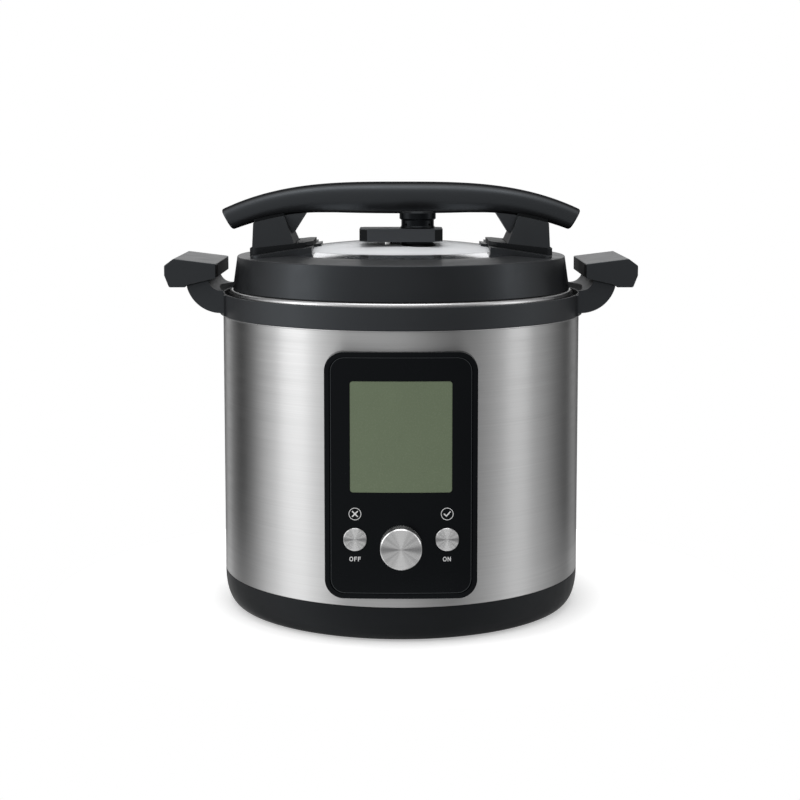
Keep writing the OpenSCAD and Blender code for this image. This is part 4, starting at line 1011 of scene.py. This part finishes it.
def build_dial():
    """The dial, with a bevelled face and a blind bore for its shaft."""
    outline = fillet([(0.0, DIAL_BACK), (DIAL_R, DIAL_BACK, 0.3), (DIAL_R, DIAL_FACE + 0.7, 0.12),
                      (DIAL_R - 0.7, DIAL_FACE, 0.12), (0.0, DIAL_FACE)])
    bm = lathe(outline, 160, 0.0, DIAL_Z, upright=False)
    bore = prism(circle(0.0, DIAL_Z, DIAL_BORE_R), DIAL_BORE_END, -130.0, "Y")
    piece("dial", combine(bm, [bore]), "dial_knob")


def build_buttons():
    """The two push buttons, each a cap on a stem that reaches back to its switch."""
    for name, node, x in (("button_left", "cancel_button", -BUTTON_X),
                          ("button_right", "start_button", BUTTON_X)):
        back = BUTTON_FACE + 3.8
        outline = fillet([(0.0, STEM_END), (STEM_R, STEM_END), (STEM_R, back), (CAP_R, back, 0.2),
                          (CAP_R, BUTTON_FACE, 0.7), (0.0, BUTTON_FACE)])
        piece(name, lathe(outline, 96, x, BUTTON_Z, upright=False), node)


def bowed(bm):
    """Moves points back so that a flat shape follows the panel's bowed front."""
    for vert in bm.verts:
        vert.co.y += PANEL_BOW - math.sqrt(PANEL_BOW ** 2 - vert.co.x ** 2)
    return bm


def subdivide_across(bm, parts=12):
    """Slices a flat shape upright so that it can follow the bow."""
    for i in range(1, parts):
        x = FASCIA_HALF * (2.0 * i / parts - 1.0)
        bmesh.ops.bisect_plane(bm, geom=[*bm.verts, *bm.edges, *bm.faces], plane_co=(x, 0.0, 0.0),
                               plane_no=(1.0, 0.0, 0.0))


def build_marks():
    """A ring with a cross, a ring with a tick, and OFF and ON, printed on the fascia."""
    front, back = FASCIA_FACE - 0.06, FASCIA_FACE + 0.1

    def strokes(points, width):
        """A line of even width with rounded ends and joints."""
        shapes = []
        for a, b in zip(points, points[1:]):
            heading = math.degrees(math.atan2(b[1] - a[1], b[0] - a[0]))
            outline = arc(b, width / 2.0, heading - 90.0, heading + 90.0, 8)
            outline += arc(a, width / 2.0, heading + 90.0, heading + 270.0, 8)
            shapes.append(prism(outline, front, back, "Y"))
        return shapes

    def ring(x, z, wide, tall, width):
        """An upright oval line, given by its half width, half height and line width."""
        def oval(across, up):
            return [(x + across * a, z + up * b) for a, b in circle(0.0, 0.0, 1.0, 48)]

        inside = prism(oval(wide - width, tall - width), front - 1.0, back + 1.0, "Y")
        return combine(prism(oval(wide, tall), front, back, "Y"), [inside])

    def letter(x, lines):
        """A letter drawn with lines, from its left edge on."""
        return [shape for line in lines
                for shape in strokes([(x + a, WORD_Z + b) for a, b in line], WORD_LINE)]

    def letter_o(x):
        return ring(x, WORD_Z, 1.3, 1.58, WORD_LINE)

    left, right, z, arm, tall = -BUTTON_X, BUTTON_X, ICON_Z, CROSS_ARM, LETTER_HALF
    cross = strokes([(left - arm, z - arm), (left + arm, z + arm)], CROSS_LINE)
    cross += strokes([(left - arm, z + arm), (left + arm, z - arm)], CROSS_LINE)
    tick = strokes([(right - 2.0, z), (right - 0.5, z - 1.4), (right + 2.0, z + 1.4)], TICK_LINE)
    f_lines = [[(0.0, -tall), (0.0, tall), (1.4, tall)], [(0.0, 0.1), (1.2, 0.1)]]
    n_lines = [[(0.0, -tall), (0.0, tall), (1.7, -tall), (1.7, tall)]]
    marks = {
        "mark_cross": [ring(left, z, ICON_R, ICON_R, ICON_LINE), *cross],
        "mark_tick": [ring(right, z, ICON_R, ICON_R, ICON_LINE), *tick],
        "mark_off": [letter_o(left - 2.5), *letter(left - 0.3, f_lines),
                     *letter(left + 2.2, f_lines)],
        "mark_on": [letter_o(right - 1.5), *letter(right + 0.6, n_lines)],
    }
    for name, shapes in marks.items():
        bm = bowed(combine(shapes[0], shapes[1:], "UNION"))
        piece(name, bm, "control_fascia", "white_plastic", stands_for=False, finish=MARK_WHITE)


def build_fascia_highlight():
    """A thin grey line round the fascia, where it drops into the bezel: a painted highlight along
    that edge.
    """
    sizes = [(FASCIA_HALF, FASCIA_TALL / 2.0, FASCIA_CORNER)]
    sizes.append(tuple(size - 0.32 for size in sizes[0]))
    outer, inner = [prism(rounded_rect(2.0 * half, 2.0 * tall, corner, 0.0, PANEL_MIDDLE),
                          FASCIA_FACE - 0.05 - 2.0 * i, FASCIA_FACE + 0.2 + 2.0 * i, "Y")
                    for i, (half, tall, corner) in enumerate(sizes)]
    subdivide_across(outer)
    edge = bowed(combine(outer, [inner]))
    piece("fascia_highlight", edge, "control_fascia", stands_for=False, finish=HIGHLIGHT_GREY)


# ---- Cup at the back ----

CUP_Y = 138.85
CUP_WIDE = 52.0
CUP_DEEP = 12.7
CUP_WALL = 1.6
CUP_LOW = 170.0
CUP_TOP = 208.0


def build_cup():
    """The clear condensation cup, hung from its bracket by a tongue at each side."""
    cup = prism(rounded_rect(CUP_WIDE, CUP_DEEP, 3.2, 0.0, CUP_Y), CUP_LOW, CUP_TOP)
    soften(cup, 1.4, 3, 40.0, lambda edge: max(v.co.z for v in edge.verts) < CUP_LOW + 1.0)
    inside = CUP_WIDE - 2.0 * CUP_WALL, CUP_DEEP - 2.0 * CUP_WALL
    hollow = prism(rounded_rect(*inside, 1.8, 0.0, CUP_Y), CUP_LOW + CUP_WALL, CUP_TOP + 7.0)
    tongues = [block(side * 25.6, side * 30.0, 134.1, 141.9, 205.5, 207.5) for side in (-1.0, 1.0)]
    combine(cup, [hollow])
    piece("drip_cup", combine(cup, tongues, "UNION"), "condensate_cup")


# ---- Softened copies of the remaining moulded and pressed parts ----

EDGE_WIDTHS = {
    "base_tub": 0.5, "rubber_feet": 0.6, "inlet_socket": 0.4, "control_bezel": 0.8,
    "control_fascia": 0.25, "lcd_glass": 0.3, "cup_bracket": 0.6, "foot_left": 0.7,
    "foot_right": 0.7, "valve_cover": 0.7, "inner_pot": 0.5, "vent_shield": 0.2,
    "sealing_ring": 0.5, "control_tray": 0.3, "board_relay": 0.5, "board_transformer": 0.5,
    "lcd_frame": 0.3, "probe_cup": 0.4, "heater_plate": 0.4, "probe_bracket": 0.2}
BEZEL_STRETCH = 1.01
# The valve cover's paler black is painted light on its lit top and front
SOFTENED_FINISH = {"base_tub": DULL_BLACK, "valve_cover": PALE_BLACK}


def build_softened():
    for node, width in EDGE_WIDTHS.items():
        bm = soften(copy_of(node), width, 2, 40.0)
        if node == "control_bezel":
            for vert in bm.verts:
                vert.co.x *= BEZEL_STRETCH
        piece(node + "_body", bm, node, finish=SOFTENED_FINISH.get(node))


build_drum()
build_collar()
build_well()
build_side_handles()
build_lid_shell()
build_lid_ring()
build_bridge_handle()
build_pillars()
build_valve_knob()
build_cover_shade_sheets()
build_valve_gasket()
build_dial()
build_buttons()
build_marks()
build_fascia_highlight()
build_cup()
build_softened()

# ---- Floor, world and lamps ----

# How bright the studio is round the object: azimuth in degrees, 0 in front and 90 on the right
STUDIO_WALLS = [
    (-180, 1.0), (-156, 0.95), (-140, 0.2), (-124, 0.03), (-110, 0.24), (-92, 0.88), (-72, 0.97),
    (-56, 0.98), (-40, 0.52), (-22, 0.5), (0, 0.46), (20, 0.28), (34, 0.2), (50, 0.28), (66, 0.52),
    (84, 0.6), (100, 0.5), (116, 0.24), (134, 0.05), (152, 0.45), (180, 1.0)]
STUDIO_CEILING = (0.85, 0.85, 0.85)
STUDIO_HORIZON = (0.06, 0.06, 0.06)
# Between which heights of a direction the walls turn into the ceiling, and the horizon into white
CEILING_RISE = (0.55, 0.95)
HORIZON_RISE = (0.04, 0.2)
# Between which parts along +Y of a direction the background behind the object starts
BEHIND = (0.8, 0.95)
FLOOR_RADIUS = 0.26
FLOOR_GLOW_NEAR = 0.4
FLOOR_GLOW_FAR = 0.95
FLOOR_GLOSS_SHARE = 0.8
SHADOW_REACH = (0.125, 0.22)


def seen_directly(graph):
    """Gives 1 for rays from the eye, in gloss or through glass, and 1 for those in gloss alone."""
    path = graph.node("ShaderNodeLightPath")
    seen = path.outputs["Is Camera Ray"]
    for ray in ("Is Glossy Ray", "Is Transmission Ray"):
        seen = graph.value("MAXIMUM", seen, path.outputs[ray])
    return seen, path.outputs["Is Glossy Ray"]


def make_floor():
    """A pale floor that glows to the eye, more so further out, and keeps the object's shadow.

    Gloss mostly passes through it to the studio, so that the drum's foot reads like its middle.
    """
    m = Recipe("floor")
    m.colour(m.blend(m.noise(3.0), (0.8, 0.8, 0.8), (0.82, 0.82, 0.82)))
    m.set(Roughness=0.9, Specular_IOR_Level=0.0)
    distance = m.vector("LENGTH", m.place)
    level = m.ramp(distance, FLOOR_GLOW_NEAR, FLOOR_GLOW_FAR, *SHADOW_REACH)
    seen, gloss = seen_directly(m)
    glow = m.node("ShaderNodeEmission")
    m.link(m.value("MULTIPLY", level, seen), glow.inputs["Strength"])
    both = m.node("ShaderNodeAddShader")
    m.feed(both, m.shader.outputs["BSDF"], glow.outputs["Emission"])
    clear = m.node("ShaderNodeBsdfTransparent")
    through = m.node("ShaderNodeMixShader")
    m.feed(through, m.value("MULTIPLY", gloss, FLOOR_GLOSS_SHARE), both.outputs["Shader"],
           clear.outputs["BSDF"])
    m.link(through.outputs["Shader"], m.tree.nodes["Material Output"].inputs["Surface"])

    bm = bmesh.new()
    bmesh.ops.create_circle(bm, cap_ends=True, segments=96, radius=FLOOR_RADIUS)
    mesh = bpy.data.meshes.new("floor")
    bm.to_mesh(mesh)
    bm.free()
    mesh.materials.append(m.material)
    floor = bpy.data.objects.new("floor", mesh)
    scene.collection.objects.link(floor)


def make_world():
    """White to the camera and through glass; round the object, a studio with darker gaps."""
    world = bpy.data.worlds.new("studio")
    scene.world = world
    world.use_nodes = True
    w = Graph(world.node_tree)
    right, back, up = w.split(w.node("ShaderNodeTexCoord").outputs["Generated"])
    azimuth = w.value("ARCTAN2", right, w.value("MULTIPLY", back, -1.0))
    share = w.ramp(azimuth, 0.0, 1.0, -math.pi, math.pi)
    walls = w.stops(share, [((angle + 180.0) / 360.0, level) for angle, level in STUDIO_WALLS])
    high = w.ramp(up, 0.0, 1.0, *CEILING_RISE, "SMOOTHSTEP")
    studio = w.blend(high, walls, STUDIO_CEILING)

    # The white background is also what gloss shows behind the object, past the studio's walls
    seen, gloss = seen_directly(w)
    behind = w.ramp(back, 0.0, 1.0, *BEHIND, "SMOOTHSTEP")
    # Low down behind the object that gloss meets the dark edge of the studio's floor instead
    rise = w.ramp(up, 0.0, 1.0, *HORIZON_RISE, "SMOOTHSTEP")
    edge = w.value("MULTIPLY", behind, w.value("SUBTRACT", 1.0, rise))
    shown = w.blend(edge, studio, STUDIO_HORIZON)
    no_gloss = w.value("SUBTRACT", 1.0, gloss)
    open_view = w.value("MAXIMUM", no_gloss, w.value("MULTIPLY", behind, rise))
    white_share = w.value("MULTIPLY", seen, open_view)

    background = w.tree.nodes["Background"]
    w.link(shown, background.inputs["Color"])
    white = w.node("ShaderNodeBackground")
    white.inputs["Color"].default_value = (1.0, 1.0, 1.0, 1.0)
    pick = w.node("ShaderNodeMixShader")
    w.feed(pick, white_share, background.outputs["Background"], white.outputs["Background"])
    w.link(pick.outputs["Shader"], w.tree.nodes["World Output"].inputs["Surface"])


def soft_box(name, azimuth, height, distance, size, watts):
    """A lamp round the object: azimuth 0 is in front of it and 90 on its right."""
    data = bpy.data.lights.new(name, "AREA")
    data.shape = "RECTANGLE"
    data.size, data.size_y = size
    data.energy = watts
    lamp = bpy.data.objects.new(name, data)
    angle = math.radians(azimuth)
    lamp.location = (distance * math.sin(angle), -distance * math.cos(angle), height)
    aim = Vector((0.0, 0.0, 0.15)) - lamp.location
    lamp.rotation_euler = aim.to_track_quat("-Z", "Y").to_euler()
    scene.collection.objects.link(lamp)


make_floor()
make_world()
soft_box("left_box", azimuth=-70.0, height=0.9, distance=1.9, size=(0.8, 1.5), watts=7.0)
soft_box("right_box", azimuth=78.0, height=0.9, distance=2.0, size=(0.7, 1.5), watts=4.0)
soft_box("top_box", azimuth=-15.0, height=2.3, distance=0.35, size=(1.6, 1.2), watts=11.0)
